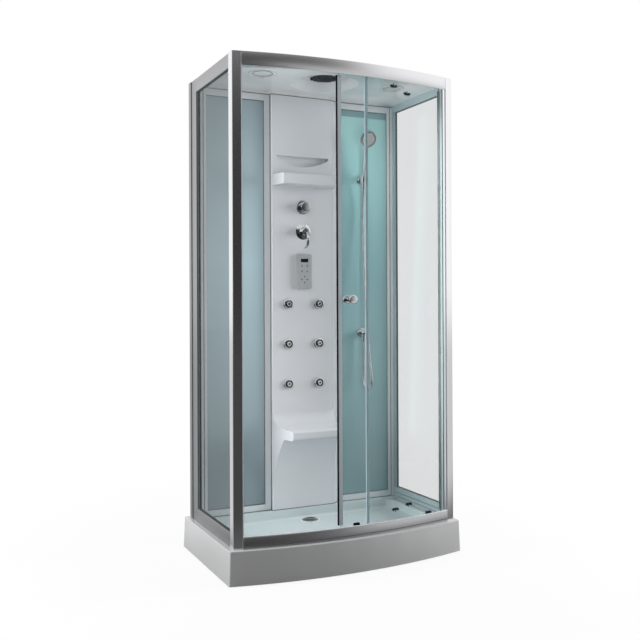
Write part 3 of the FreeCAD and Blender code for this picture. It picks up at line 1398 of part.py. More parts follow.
def supply_pipes():
    y = face_y + pipe_layer
    z_div = deck_z + diverter_height
    z_low = deck_z + jet_first_height
    z_link = z_low + (jet_rows - 1) * jet_pitch + link_rise
    y_valve = face_y + valve_from_wall + valve_radius
    x_side = vec(1, 0, 0)
    solids = []
    for side in (-1, 1):
        x = side * jet_spread
        solids.append(rod(jet_pipe_radius, z_link - z_low + 2 * jet_pipe_radius, vec(x, y, z_low), up))
        for i in range(jet_rows):
            z = z_low + i * jet_pitch
            start = face_y + jet_tail_length + seat_clearance
            solids.append(rod(jet_tee_radius, y + jet_tee_radius - start, vec(x, start, z), inward))
    solids.append(rod(pipe_radius, 2 * jet_spread, vec(-jet_spread, y, z_link), x_side))
    x_rise = jet_spread / 2
    solids.append(rod(elbow_radius, 2 * elbow_radius, vec(-x_rise - elbow_radius, y, z_link), x_side))
    rise_y = back_y - post_width + elbow_radius + seat_clearance
    solids.append(rod(pipe_radius, z_div - z_link, vec(-x_rise, rise_y, z_link), up))
    solids.append(rod(pipe_radius, rise_y - y, vec(-x_rise, y, z_link), inward))
    solids.append(rod(pipe_radius, rise_y - y_valve, vec(-x_rise, rise_y, z_div), outward))
    stub_top = roof_z + rain_recess_height - rain_head_drop + rain_stub_length
    z_roof = stub_top + seat_clearance + pipe_radius
    solids.append(rod(pipe_radius, z_roof - z_div, vec(0, rise_y, z_div), up))
    solids.append(rod(pipe_radius, rise_y - y_valve, vec(0, rise_y, z_div), outward))
    solids.append(rod(pipe_radius, rise_y - rain_y, vec(0, rain_y, z_roof), inward))
    solids.append(rod(rain_stub_radius, 2 * pipe_radius, vec(0, rain_y, stub_top + seat_clearance), up))
    z_out = deck_z + outlet_height
    solids.append(rod(pipe_radius, z_div - z_out, vec(x_rise, rise_y, z_out), up))
    solids.append(rod(pipe_radius, rise_y - y_valve, vec(x_rise, rise_y, z_div), outward))
    solids.append(rod(pipe_radius, hand_x - x_rise, vec(x_rise, rise_y, z_out), x_side))
    y_panel_back = panel_y + panel_thickness
    solids.append(rod(pipe_radius, rise_y - y_panel_back - seat_clearance, vec(hand_x, rise_y, z_out), outward))
    for x, z in ((-x_rise, z_div), (0, z_div), (x_rise, z_div), (-x_rise, z_link), (x_rise, z_out), (hand_x, z_out), (0, z_roof)):
        solids.append(rod(elbow_radius, 2 * elbow_radius, vec(x, rise_y, z - elbow_radius), up))
    pipes = join(solids)
    return pipes.cut(mixer_valve_envelope())


def mixer_valve_envelope():
    y = face_y + valve_from_wall + valve_radius
    z = deck_z + diverter_height
    reach = valve_width / 2 + overrun
    return rod(valve_radius + seat_clearance, 2 * reach, vec(-reach, y, z), vec(1, 0, 0))


nodes = {
    "shower_tray": shower_tray,
    "tray_frame": tray_frame,
    "tray_feet": tray_feet,
    "waste_trap": waste_trap,
    "drain_cover": drain_cover,
    "post_front_left": lambda: mirrored(front_post()),
    "post_front_right": post_front_right,
    "post_back_left": lambda: mirrored(back_post()),
    "post_back_right": back_post,
    "side_rails": side_rails,
    "left_side_glass": lambda: mirrored(side_pane()),
    "right_side_glass": side_pane,
    "front_top_rail": lambda: front_rail(top_z, -1, top_rail_height),
    "front_bottom_rail": lambda: front_rail(deck_z, 1, bottom_rail_height),
    "fixed_front_glass": fixed_front_glass,
    "fixed_glass_edge_strip": fixed_glass_edge_strip,
    "pane_guides": pane_guides,
    "strike_strip": strike_strip,
    "door_glass": door_glass,
    "door_edge_profile": door_edge_profile,
    "door_magnetic_seal": door_magnetic_seal,
    "door_rear_seal": door_rear_seal,
    "door_knob_outer": door_knob_outer,
    "door_knob_inner": door_knob_inner,
    "roller_brackets": roller_brackets,
    "door_guides": door_guides,
    "back_wall_frames": back_wall_frames,
    "back_left_panel": lambda: mirrored(wall_panel()),
    "back_right_panel": wall_panel,
    "centre_column": centre_column,
    "column_screws": column_screws,
    "roof_panel": roof_panel,
    "rain_head": rain_head,
    "roof_lamp": roof_lamp,
    "roof_speaker": roof_speaker,
    "diverter_flange": diverter_flange,
    "diverter_knob": diverter_knob,
    "mixer_escutcheon": mixer_escutcheon,
    "mixer_cap": mixer_cap,
    "mixer_lever": mixer_lever,
    "control_panel": control_panel,
    "panel_display": panel_display,
    "jet_bezels": jet_bezels,
    "holder_base": holder_base,
    "hand_shower": hand_shower,
    "wall_outlet": wall_outlet,
    "shower_hose": shower_hose,
    "mixer_valve": mixer_valve,
    "supply_pipes": supply_pipes,
}


def save(name, shape):
    for solid in shape.Solids:
        if not solid.isValid() or not solid.isClosed():
            print("check the solid of", name)
    shape.exportStep("parts/" + name + ".step")


def main():
    os.makedirs("parts", exist_ok=True)
    for name, make in nodes.items():
        save(name, make())
    for name, angle, rail_z, into in carriage_places():
        save("wheel_" + name, roller_wheel(angle, rail_z, into))
    for number, (x, z) in enumerate(jet_places(), 1):
        save("jet_nozzle_" + str(number), jet_nozzle(x, z))


main()
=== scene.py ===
import bpy
import bmesh
import json
import math
from mathutils import Matrix, Vector


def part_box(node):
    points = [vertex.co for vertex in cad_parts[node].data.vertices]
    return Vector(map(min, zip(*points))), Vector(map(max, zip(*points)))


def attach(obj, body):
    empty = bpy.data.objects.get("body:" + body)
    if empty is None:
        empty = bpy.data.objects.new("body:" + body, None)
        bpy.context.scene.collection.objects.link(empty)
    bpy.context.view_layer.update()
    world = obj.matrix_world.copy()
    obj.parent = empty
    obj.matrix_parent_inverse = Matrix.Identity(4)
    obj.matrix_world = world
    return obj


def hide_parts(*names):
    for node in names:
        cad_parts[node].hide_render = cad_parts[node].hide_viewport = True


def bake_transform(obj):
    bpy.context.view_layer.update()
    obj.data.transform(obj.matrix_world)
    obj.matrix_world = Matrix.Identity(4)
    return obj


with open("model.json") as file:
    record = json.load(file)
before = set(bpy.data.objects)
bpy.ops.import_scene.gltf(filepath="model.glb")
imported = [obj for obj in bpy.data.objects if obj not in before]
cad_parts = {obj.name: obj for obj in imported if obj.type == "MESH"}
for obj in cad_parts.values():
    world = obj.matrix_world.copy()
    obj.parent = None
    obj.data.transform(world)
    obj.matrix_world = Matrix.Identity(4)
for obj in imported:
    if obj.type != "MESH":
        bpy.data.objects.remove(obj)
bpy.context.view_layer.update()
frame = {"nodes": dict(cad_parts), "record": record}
nodes = frame["nodes"]
scene = bpy.context.scene
bodyOf = {node: body for body, group in frame["record"]["behaviour"]["bodies"].items() for node in group}
print("frame loaded:", len(nodes), "nodes")


# camera, at the photograph's viewpoint
photoCamera = {
    "place": (-1.663, -3.527, 1.140),
    "yaw": 26.343, "pitch": 0.114, "roll": -0.255,  # degrees
    "focal": 857.3, "middle": (339.0, 298.4), "frame": 640.0,  # pixels
    "sensor": 36.0,  # millimetres
}


def addCamera(view):
    yaw, pitch, roll = (math.radians(view[key]) for key in ("yaw", "pitch", "roll"))
    ahead = Vector((math.sin(yaw) * math.cos(pitch), math.cos(yaw) * math.cos(pitch), math.sin(pitch)))
    right = Vector((math.cos(yaw), -math.sin(yaw), 0))
    above = right.cross(ahead)
    across = right * math.cos(roll) + above * math.sin(roll)
    above = above * math.cos(roll) - right * math.sin(roll)
    camera = bpy.data.objects.new("photoCamera", bpy.data.cameras.new("photoCamera"))
    scene.collection.objects.link(camera)
    turn = Matrix((across, above, -ahead)).transposed().to_4x4()
    camera.matrix_world = Matrix.Translation(view["place"]) @ turn
    camera.data.sensor_width = view["sensor"]
    camera.data.lens = view["focal"] / view["frame"] * view["sensor"]
    camera.data.shift_x = (view["frame"] / 2 - view["middle"][0]) / view["frame"]
    camera.data.shift_y = (view["middle"][1] - view["frame"] / 2) / view["frame"]
    scene.camera = camera


addCamera(photoCamera)
scene.view_settings.view_transform = "Standard"


# one socket of a node tree, so that shader and geometry maths reads as ordinary sums
class Field:
    def __init__(self, tree, socket=None):
        self.tree = tree
        self.socket = socket

    def node(self, kind, settings=None, sockets=None, output=0):
        made = self.tree.nodes.new(kind)
        for name, value in (settings or {}).items():
            if name == "stops":
                ramp = made.color_ramp.elements
                for index, (place, colour) in enumerate(value):
                    stop = ramp[index] if index < len(ramp) else ramp.new(place)
                    stop.position, stop.color = place, colour
            else:
                setattr(made, name, value)
        for key, value in (sockets or {}).items():
            self.feed(made.inputs[key], value)
        return Field(self.tree, made.outputs[output])

    def feed(self, entry, value):
        if isinstance(value, Field):
            self.tree.links.new(value.socket, entry)
        else:
            entry.default_value = value

    def maths(self, operation, first, second=0.0):
        return self.node("ShaderNodeMath", {"operation": operation}, {0: first, 1: second})

    def __add__(self, other):
        return self.maths("ADD", self, other)

    def __radd__(self, other):
        return self.maths("ADD", other, self)

    def __sub__(self, other):
        return self.maths("SUBTRACT", self, other)

    def __rsub__(self, other):
        return self.maths("SUBTRACT", other, self)

    def __mul__(self, other):
        return self.maths("MULTIPLY", self, other)

    def __rmul__(self, other):
        return self.maths("MULTIPLY", other, self)

    def __truediv__(self, other):
        return self.maths("DIVIDE", self, other)

    def __pow__(self, other):
        return self.maths("POWER", self, other)

    def __abs__(self):
        return self.maths("ABSOLUTE", self)

    def held(self, low, high):  # 0 at low, 1 at high, smooth between
        steps = {"Value": self, "From Min": low, "From Max": high}
        return self.node("ShaderNodeMapRange", {"interpolation_type": "SMOOTHSTEP"}, steps)

    def blend(self, share, first, second):
        return self.node("ShaderNodeMix", {"data_type": "RGBA"}, {0: share, 6: first, 7: second}, 2)

    def vector(self, operation, first, second, output=0):
        return self.node("ShaderNodeVectorMath", {"operation": operation}, {0: first, 1: second}, output)

    def place(self):  # the piece's own coordinates
        return self.node("ShaderNodeTexCoord", output=3)

    def normal(self):
        return self.node("ShaderNodeNewGeometry", output=1)

    def part(self, source, axis):  # one of a vector's three numbers
        return self.node("ShaderNodeSeparateXYZ", {}, {0: source}, axis)

    def relief(self, height, strength, depth):
        return self.node("ShaderNodeBump", {}, {"Height": height, "Strength": strength, "Distance": depth})


def rgba(colour):
    return (colour[0], colour[1], colour[2], 1.0)


def newMaterial(name):
    material = bpy.data.materials.new(name)
    material.use_nodes = True
    tree = material.node_tree
    return material, Field(tree), tree.nodes["Principled BSDF"]


def noise(sheet, scale, stretch=(1, 1, 1), detail=3.0):
    spread = sheet.node("ShaderNodeMapping", {}, {"Vector": sheet.place(), "Scale": stretch})
    return sheet.node("ShaderNodeTexNoise", {}, {"Vector": spread, "Scale": scale, "Detail": detail}, 0)


# the arc of the bowed front, seen from above: its radius and how far back its middle lies
bow = {"radius": 2.18532, "axis": 1.85332, "reach": 0.486}

# what the finishes share unless one says otherwise
plainLook = {
    "patchStretch": (1, 1, 1), "patchEdges": (0.35, 0.65), "grainStretch": (1, 1, 1), "grainDetail": 4.0,
    "roughSpread": 0.06, "bumpDepth": 0.0005, "metallic": 0.0, "coat": 0.0, "coatRoughness": 0.03,
    "specular": 0.5,
}
horizonReflection = {"starts": (0.02, 0.2), "ends": (0.5, 0.8)}  # how far down a face of polished metal looks, for its painted reflection of a dark horizon
paintedDeckTint = {"halfWidth": 0.487, "radius": 2.15, "sideSoft": 0.01, "bowSoft": 0.02}
inner = {"starts": (0.1, 0.2), "dulling": 0.85}


# a finish: colour that varies softly, roughness that varies, and a fine relief
def solidFinish(name, ownLook):
    look = {**plainLook, **ownLook}
    material, sheet, shader = newMaterial(name)
    patches = noise(sheet, look["patchScale"], look["patchStretch"])
    fine = noise(sheet, look["grainScale"], look["grainStretch"], look["grainDetail"])
    colour = sheet.blend(patches.held(*look["patchEdges"]), rgba(look["colour"]), rgba(look["second"]))
    if "paintedHorizon" in look:  # painted reflection: faces turned a little downward get a dark colour standing in for the horizon they reflect
        tilt = 0 - sheet.part(sheet.normal(), 2)
        paintedHorizon = tilt.held(*horizonReflection["starts"]) * (1 - tilt.held(*horizonReflection["ends"]))
        colour = sheet.blend(paintedHorizon, colour, rgba(look["paintedHorizon"]))
    if "paintedDeckTint" in look:  # painted light: the tray within the walls and the bowed rail gets a lighter cyan colour, standing in for the light that reaches it through the tinted glass
        across, depth = (sheet.part(sheet.place(), axis) for axis in (0, 1))
        depth = depth - bow["axis"]
        reach = sheet.maths("SQRT", across * across + depth * depth)
        within = (paintedDeckTint["halfWidth"] - abs(across)).held(0.0, paintedDeckTint["sideSoft"])
        within = within * (paintedDeckTint["radius"] - reach).held(0.0, paintedDeckTint["bowSoft"])
        colour = sheet.blend(within, colour, rgba(look["paintedDeckTint"]))
    if "inside" in look:  # painted reflection: the faces that look into the cabin get a paler cyan-grey colour and less metal, standing in for the cabin they reflect
        level = sheet.vector("MULTIPLY", sheet.normal(), (1, 1, 0))
        outward = sheet.vector("DOT_PRODUCT", level, sheet.place(), 1)
        inward = (0 - outward).held(*inner["starts"])
        colour = sheet.blend(inward, colour, rgba(look["inside"]))
        sheet.feed(shader.inputs["Metallic"], look["metallic"] * (1 - inward * inner["dulling"]))
    else:
        shader.inputs["Metallic"].default_value = look["metallic"]
    sheet.feed(shader.inputs["Base Color"], colour)
    sheet.feed(shader.inputs["Roughness"], look["roughness"] + (fine - 0.5) * look["roughSpread"])
    sheet.feed(shader.inputs["Normal"], sheet.relief(fine, look["relief"], look["bumpDepth"]))
    shader.inputs["Coat Weight"].default_value = look["coat"]
    shader.inputs["Coat Roughness"].default_value = look["coatRoughness"]
    shader.inputs["Specular IOR Level"].default_value = look["specular"]
    return material


paneWear = {
    "cutEdges": (0.4, 0.7), "cutAlpha": 0.6, "markScale": 5.0, "markStretch": (1, 1, 0.25),
    "markEdges": (0.45, 0.8), "roughness": 0.03, "markRoughness": 0.05,
}


# a glass pane: a thin tint, denser at a glancing look, faint wiping marks, and green cut edges
def glassFinish(name, look):
    material, sheet, shader = newMaterial(name)
    facing = sheet.node("ShaderNodeLayerWeight", {}, {"Blend": look["glance"]}, 1)
    across = sheet.vector("DOT_PRODUCT", sheet.normal(), look["faceAlong"], 1)
    cut = 1 - abs(across).held(*paneWear["cutEdges"])
    marks = noise(sheet, paneWear["markScale"], paneWear["markStretch"]).held(*paneWear["markEdges"])
    alpha = look["tint"] + facing ** look["glancePower"] * look["glanceTint"]
    alpha = alpha + marks * look["marks"] + cut * paneWear["cutAlpha"]
    sheet.feed(shader.inputs["Alpha"], alpha.maths("MINIMUM", alpha, 1.0))
    sheet.feed(shader.inputs["Base Color"], sheet.blend(cut, rgba(look["colour"]), rgba(look["edge"])))
    sheet.feed(shader.inputs["Roughness"], paneWear["roughness"] + marks * paneWear["markRoughness"])
    shader.inputs["Specular IOR Level"].default_value = look["specular"]
    return material


paintShadeAndGrain = {
    "low": 0.18, "high": 2.08, "driftScale": 1.4, "driftStretch": (1, 1, 0.4), "driftDetail": 2.0,
    "drift": 0.12, "shadeSoft": 0.006, "grainScale": 40.0,
    "roughness": 0.06, "roughSpread": 0.04, "relief": 0.01,
}


# back-painted glass, with painted shade: the colour is lightest at two thirds of the height and darker towards the
# foot, where less light falls
def paintedGlass(name, look):
    material, sheet, shader = newMaterial(name)
    height = sheet.part(sheet.place(), 2)
    drift = noise(sheet, paintShadeAndGrain["driftScale"], paintShadeAndGrain["driftStretch"], paintShadeAndGrain["driftDetail"])
    share = (height - paintShadeAndGrain["low"]) / (paintShadeAndGrain["high"] - paintShadeAndGrain["low"])
    share = share + (drift - 0.5) * paintShadeAndGrain["drift"]
    stops = [(place, rgba(colour)) for place, colour in look["paint"]]
    colour = sheet.node("ShaderNodeValToRGB", {"stops": stops}, {0: share})
    fine = noise(sheet, paintShadeAndGrain["grainScale"])
    if "shade" in look:  # the ceiling's shadow along the top of the pane
        shaded = height.held(look["shadeFrom"], look["shadeFrom"] + paintShadeAndGrain["shadeSoft"])
        colour = sheet.blend(shaded, colour, rgba(look["shade"]))
    sheet.feed(shader.inputs["Base Color"], colour)
    sheet.feed(shader.inputs["Roughness"], paintShadeAndGrain["roughness"] + fine * paintShadeAndGrain["roughSpread"])
    sheet.feed(shader.inputs["Normal"], sheet.relief(fine, paintShadeAndGrain["relief"], plainLook["bumpDepth"]))
    shader.inputs["Specular IOR Level"].default_value = plainLook["specular"]
    return material


drawn = {"patchScale": 6.0, "patchPull": 0.05, "grainScale": 400.0, "grainPull": 0.01}


def brushed(axis, relief=0.008, roughSpread=0.05):  # drawn metal, with marks along one axis
    patch, grain = [1.0, 1.0, 1.0], [1.0, 1.0, 1.0]
    patch[axis], grain[axis] = drawn["patchPull"], drawn["grainPull"]
    return {"metallic": 1.0, "patchScale": drawn["patchScale"], "patchStretch": patch,
            "grainScale": drawn["grainScale"], "grainStretch": grain, "relief": relief, "roughSpread": roughSpread}


drawnFrame = {"roughness": 0.36, "patchScale": 5.0, "grainScale": 300.0, "grainStretch": (1, 1, 0.02),
              "relief": 0.03}
plated = {"metallic": 1.0, "patchScale": 20.0, "grainScale": 80.0, "relief": 0.015, "roughSpread": 0.05}

solidLooks = {
    "trayAcrylic": {"colour": (0.58, 0.585, 0.59), "second": (0.62, 0.625, 0.63), "roughness": 0.22,
                    "patchScale": 1.5, "grainScale": 60.0, "relief": 0.03, "coat": 0.3,
                    "paintedDeckTint": (0.62, 0.71, 0.72)},
    "columnAcrylic": {"colour": (0.68, 0.70, 0.73), "second": (0.71, 0.73, 0.76), "roughness": 0.16,
                      "patchScale": 1.2, "grainScale": 40.0, "relief": 0.03, "coat": 0.4},
    "roofAcrylic": {"colour": (0.70, 0.73, 0.75), "second": (0.74, 0.77, 0.78), "roughness": 0.18,
                    "patchScale": 1.2, "grainScale": 40.0, "relief": 0.03, "coat": 0.3},
    # painted reflection: each inside colour stands in for the cabin seen in the inward faces
    "uprightAluminium": {"colour": (0.86, 0.86, 0.88), "second": (0.92, 0.92, 0.94), "roughness": 0.17,
                         "inside": (0.46, 0.56, 0.58), **brushed(2)},
    "bowAluminium": {"colour": (0.84, 0.84, 0.86), "second": (0.90, 0.90, 0.92), "roughness": 0.28,
                     **brushed(0, 0.005, 0.02)},
    # painted shade: the side rails are the same aluminium as the posts, made darker
    "sideAluminium": {"colour": (0.36, 0.365, 0.375), "second": (0.41, 0.415, 0.425), "roughness": 0.30,
                      "inside": (0.44, 0.53, 0.55), **brushed(1)},
    "shadedUpright": {"colour": (0.30, 0.305, 0.31), "second": (0.35, 0.355, 0.36), "roughness": 0.30,
                      "inside": (0.36, 0.45, 0.47), **brushed(2)},
    # painted shade: the low bowed rail is the same aluminium as the top one, made darker
    "lowBowAluminium": {"colour": (0.52, 0.52, 0.54), "second": (0.56, 0.56, 0.58), "roughness": 0.29,
                        **brushed(0)},
    "stileMetal": {"colour": (0.68, 0.76, 0.82), "second": (0.72, 0.80, 0.86), "metallic": 0.4,
                   **drawnFrame},
    "satinFrame": {"colour": (0.72, 0.75, 0.78), "second": (0.76, 0.79, 0.82), "metallic": 0.25,
                   **drawnFrame},
    # painted reflection: the chrome's dark band stands in for the horizon it reflects
    "chrome": {"colour": (0.80, 0.81, 0.82), "second": (0.86, 0.87, 0.88), "roughness": 0.07,
               "paintedHorizon": (0.16, 0.17, 0.18), **plated},
    "softChrome": {"colour": (0.66, 0.67, 0.68), "second": (0.72, 0.73, 0.74), "roughness": 0.16, **plated},
    # painted highlight: a white finish for beads that stand in for glints along edges and rims
    "edgeWhite": {"colour": (0.90, 0.92, 0.94), "second": (0.94, 0.95, 0.96), "roughness": 0.2,
                  "patchScale": 5.0, "grainScale": 60.0, "relief": 0.01, "coat": 0.4},
    "drainSteel": {"colour": (0.40, 0.42, 0.43), "second": (0.50, 0.52, 0.53), "roughness": 0.24,
                   "metallic": 1.0, "patchScale": 60.0, "grainScale": 200.0, "relief": 0.05},
    "steel": {"colour": (0.45, 0.46, 0.47), "second": (0.55, 0.56, 0.57), "roughness": 0.42, "metallic": 1.0,
              "patchScale": 30.0, "grainScale": 200.0, "relief": 0.1},
    "brass": {"colour": (0.62, 0.47, 0.22), "second": (0.70, 0.56, 0.30), "roughness": 0.32, "metallic": 1.0,
              "patchScale": 30.0, "grainScale": 250.0, "relief": 0.12},
    "whitePlastic": {"colour": (0.80, 0.80, 0.79), "second": (0.84, 0.84, 0.83), "roughness": 0.38,
                     "patchScale": 10.0, "grainScale": 500.0, "relief": 0.06},
    "greyPlastic": {"colour": (0.42, 0.44, 0.46), "second": (0.46, 0.48, 0.50), "roughness": 0.36,
                    "metallic": 0.2, "patchScale": 10.0, "grainScale": 900.0, "relief": 0.08},
    "blackRubber": {"colour": (0.006, 0.006, 0.007), "second": (0.012, 0.012, 0.013), "roughness": 0.75,
                    "patchScale": 20.0, "grainScale": 700.0, "relief": 0.1, "specular": 0.15},
    "greyRubber": {"colour": (0.09, 0.10, 0.10), "second": (0.12, 0.13, 0.13), "roughness": 0.5,
                   "patchScale": 20.0, "grainScale": 700.0, "relief": 0.1},
    "softSeal": {"colour": (0.55, 0.58, 0.58), "second": (0.60, 0.63, 0.63), "roughness": 0.4,
                 "patchScale": 20.0, "grainScale": 300.0, "relief": 0.05},
    "displayWindow": {"colour": (0.004, 0.005, 0.006), "second": (0.006, 0.007, 0.008), "roughness": 0.08,
                      "coat": 0.5, "patchScale": 20.0, "grainScale": 300.0, "relief": 0.01},
    "hoseMetal": {"colour": (0.66, 0.67, 0.68), "second": (0.76, 0.77, 0.78), "roughness": 0.22,
                  "metallic": 1.0, "patchScale": 40.0, "grainScale": 500.0, "relief": 0.05},
}
paintLooks = {
    # painted shade: each panel's stops darken towards the foot, and the right panel's are greener, standing in for
    # the front glass it is seen through
    "backGlass": {"paint": [(0.0, (0.26, 0.32, 0.35)), (0.25, (0.37, 0.48, 0.52)), (0.60, (0.51, 0.67, 0.73)),
                            (0.85, (0.43, 0.55, 0.59)), (1.0, (0.35, 0.44, 0.48))]},
    "backGlassRight": {"paint": [(0.0, (0.23, 0.34, 0.36)), (0.35, (0.25, 0.40, 0.42)),
                                 (0.55, (0.24, 0.41, 0.44)), (0.80, (0.31, 0.55, 0.56)),
                                 (1.0, (0.40, 0.66, 0.66))],
                       "shadeFrom": 2.042, "shade": (0.22, 0.36, 0.38)},
}
glassLooks = {
    "sideGlass": {"colour": (0.05, 0.065, 0.065), "edge": (0.04, 0.09, 0.08), "faceAlong": (1, 0, 0),
                  "tint": 0.012, "glance": 0.5, "glancePower": 5.0, "glanceTint": 1.3,
                  "marks": 0.0, "specular": 0.5},
    "frontGlass": {"colour": (0.12, 0.26, 0.27), "edge": (0.05, 0.18, 0.16), "faceAlong": (0, 1, 0),
                   "tint": 0.035, "glance": 0.3, "glancePower": 1.0, "glanceTint": 0.18,
                   "marks": 0.01, "specular": 0.5},
    "clearStrip": {"colour": (0.60, 0.82, 0.90), "edge": (0.70, 0.84, 0.90), "faceAlong": (0, 1, 0),
                   "tint": 0.28, "glance": 0.3, "glancePower": 1.0, "glanceTint": 0.3,
                   "marks": 0.0, "specular": 0.4},
}
finishes = {}
for make, looks in ((solidFinish, solidLooks), (paintedGlass, paintLooks), (glassFinish, glassLooks)):
    for name, look in looks.items():
        finishes[name] = make(name, look)
print("finishes made:", len(finishes))

nodeFinish = {
    "shower_tray": "trayAcrylic", "centre_column": "columnAcrylic", "roof_panel": "roofAcrylic",
    "tray_frame": "steel", "tray_feet": "steel", "waste_trap": "whitePlastic", "drain_cover": "drainSteel",
    "post_front_left": "uprightAluminium", "post_front_right": "uprightAluminium",
    "post_back_left": "shadedUpright", "post_back_right": "shadedUpright", "side_rails": "sideAluminium",
    "front_top_rail": "bowAluminium", "front_bottom_rail": "lowBowAluminium",
    "back_wall_frames": "satinFrame", "strike_strip": "satinFrame",
    "door_edge_profile": "stileMetal", "fixed_glass_edge_strip": "clearStrip",
    "left_side_glass": "sideGlass", "right_side_glass": "sideGlass",
    "fixed_front_glass": "frontGlass", "door_glass": "frontGlass",
    "back_left_panel": "backGlass", "back_right_panel": "backGlassRight",
    "door_magnetic_seal": "blackRubber", "door_rear_seal": "softSeal",
    "pane_guides": "blackRubber", "door_guides": "blackRubber",
    "door_knob_outer": "chrome", "door_knob_inner": "chrome",
    "roller_brackets": "blackRubber", "column_screws": "steel",
    "rain_head": "softChrome", "roof_lamp": "roofAcrylic", "roof_speaker": "roofAcrylic",
    "diverter_flange": "chrome", "diverter_knob": "chrome",
    "mixer_escutcheon": "chrome", "mixer_cap": "chrome", "mixer_lever": "chrome",
    "control_panel": "greyPlastic", "panel_display": "displayWindow", "jet_bezels": "chrome",
    "holder_base": "chrome", "hand_shower": "softChrome", "wall_outlet": "chrome",
    "mixer_valve": "brass", "supply_pipes": "whitePlastic",
}
jetCount = 6
for number in range(jetCount):
    nodeFinish["jet_nozzle_%d" % (number + 1)] = "chrome"
for place in ("top_left", "top_right", "bottom_left", "bottom_right"):
    nodeFinish["wheel_" + place] = "whitePlastic"

flatNodes = ("left_side_glass", "right_side_glass", "back_left_panel", "back_right_panel", "tray_frame",
             "panel_display", "strike_strip")


def paint(piece, finish):
    piece.data.materials.clear()
    piece.data.materials.append(finishes[finish])


def newPiece(name, mesh):
    piece = bpy.data.objects.new(name, mesh)
    scene.collection.objects.link(piece)
    return piece


skin = {"smoothAngle": 32.0, "flatAngle": 0.05, "weld": 0.00002}  # degrees, degrees, metres


# the CAD piece again, welded and shaded smooth, so that curves don't show their facets
def smoothSkin(node):
    mesh = nodes[node].data.copy()
    mesh.name = node + "Skin"
    work = bmesh.new()
    work.from_mesh(mesh)
    bmesh.ops.remove_doubles(work, verts=work.verts, dist=skin["weld"])
    flat = math.radians(skin["flatAngle"])
    bmesh.ops.dissolve_limit(work, angle_limit=flat, verts=work.verts, edges=work.edges)
    work.to_mesh(mesh)
    work.free()
    if "custom_normal" in mesh.attributes:
        mesh.attributes.remove(mesh.attributes["custom_normal"])
    mesh.shade_smooth()
    mesh.set_sharp_from_angle(angle=math.radians(skin["smoothAngle"]))
    piece = newPiece(node + "Skin", mesh)
    paint(piece, nodeFinish[node])
    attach(piece, bodyOf[node])
    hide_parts(node)


for node, finish in nodeFinish.items():
    if node in flatNodes:
        paint(nodes[node], finish)
    else:
        smoothSkin(node)
print("nodes dressed:", len(nodeFinish))


# shower hose: the route's points as in the model, in metres
hose = {
    "route": [
        (0.3240, 0.20858, 1.68716), (0.3240, 0.21596, 1.6347), (0.3230, 0.2170, 1.5500),
        (0.3210, 0.2090, 1.4100), (0.3190, 0.1930, 1.2550), (0.3165, 0.1740, 1.1000),
        (0.3140, 0.1525, 0.9500), (0.3125, 0.1305, 0.8450), (0.3120, 0.1158, 0.7900),
        (0.3120, 0.1074, 0.7400), (0.3135, 0.1332, 0.7066), (0.3160, 0.1752, 0.7018),
        (0.3190, 0.2076, 0.7288), (0.3215, 0.2112, 0.7750), (0.3230, 0.2112, 0.8450),
        (0.3240, 0.2100, 0.8930), (0.3240, 0.2100, 0.9347)],
    "lowPoint": 9,  # the point of the route where it stops following the hand shower
    "steps": 12, "radius": 0.007, "ribPitch": 0.004, "ribShare": 0.07, "sides": 14,
}


def curveThrough(name, points, steps):
    curve = bpy.data.curves.new(name, "CURVE")
    curve.dimensions = "3D"
    spline = curve.splines.new("NURBS")
    spline.points.add(len(points) - 1)
    for target, point in zip(spline.points, points):
        target.co = (point[0], point[1], point[2], 1.0)
    spline.order_u = 3
    spline.use_endpoint_u = True
    spline.resolution_u = steps
    return newPiece(name, curve)


def newTree(name, sizes):
    tree = bpy.data.node_groups.new(name, "GeometryNodeTree")
    tree.interface.new_socket("Geometry", in_out="INPUT", socket_type="NodeSocketGeometry")
    for label, (kind, value) in sizes.items():
        entry = tree.interface.new_socket(label, in_out="INPUT", socket_type=kind)
        if value is not None:
            entry.default_value = value
    tree.interface.new_socket("Geometry", in_out="OUTPUT", socket_type="NodeSocketGeometry")
    sheet = Field(tree)
    entries = tree.nodes.new("NodeGroupInput")
    given = {socket.name: Field(tree, socket) for socket in entries.outputs if socket.name}
    return tree, sheet, given


def finishTree(sheet, geometry, material):
    whole = sheet.node("GeometryNodeRealizeInstances", {}, {0: geometry})
    painted = sheet.node("GeometryNodeSetMaterial", {}, {"Geometry": whole, "Material": material})
    out = sheet.tree.nodes.new("NodeGroupOutput")
    sheet.tree.links.new(painted.socket, out.inputs[0])


def grown(carrier, tree, values):
    modifier = carrier.modifiers.new("grow", "NODES")
    modifier.node_group = tree
    for item in tree.interface.items_tree:
        if item.item_type == "SOCKET" and item.in_out == "INPUT" and item.name in values:
            modifier[item.identifier] = values[item.name]
    evaluated = carrier.evaluated_get(bpy.context.evaluated_depsgraph_get())
    mesh = bpy.data.meshes.new_from_object(evaluated)
    carrier.modifiers.remove(modifier)
    return mesh


floatSocket, intSocket, materialSocket = "NodeSocketFloat", "NodeSocketInt", "NodeSocketMaterial"


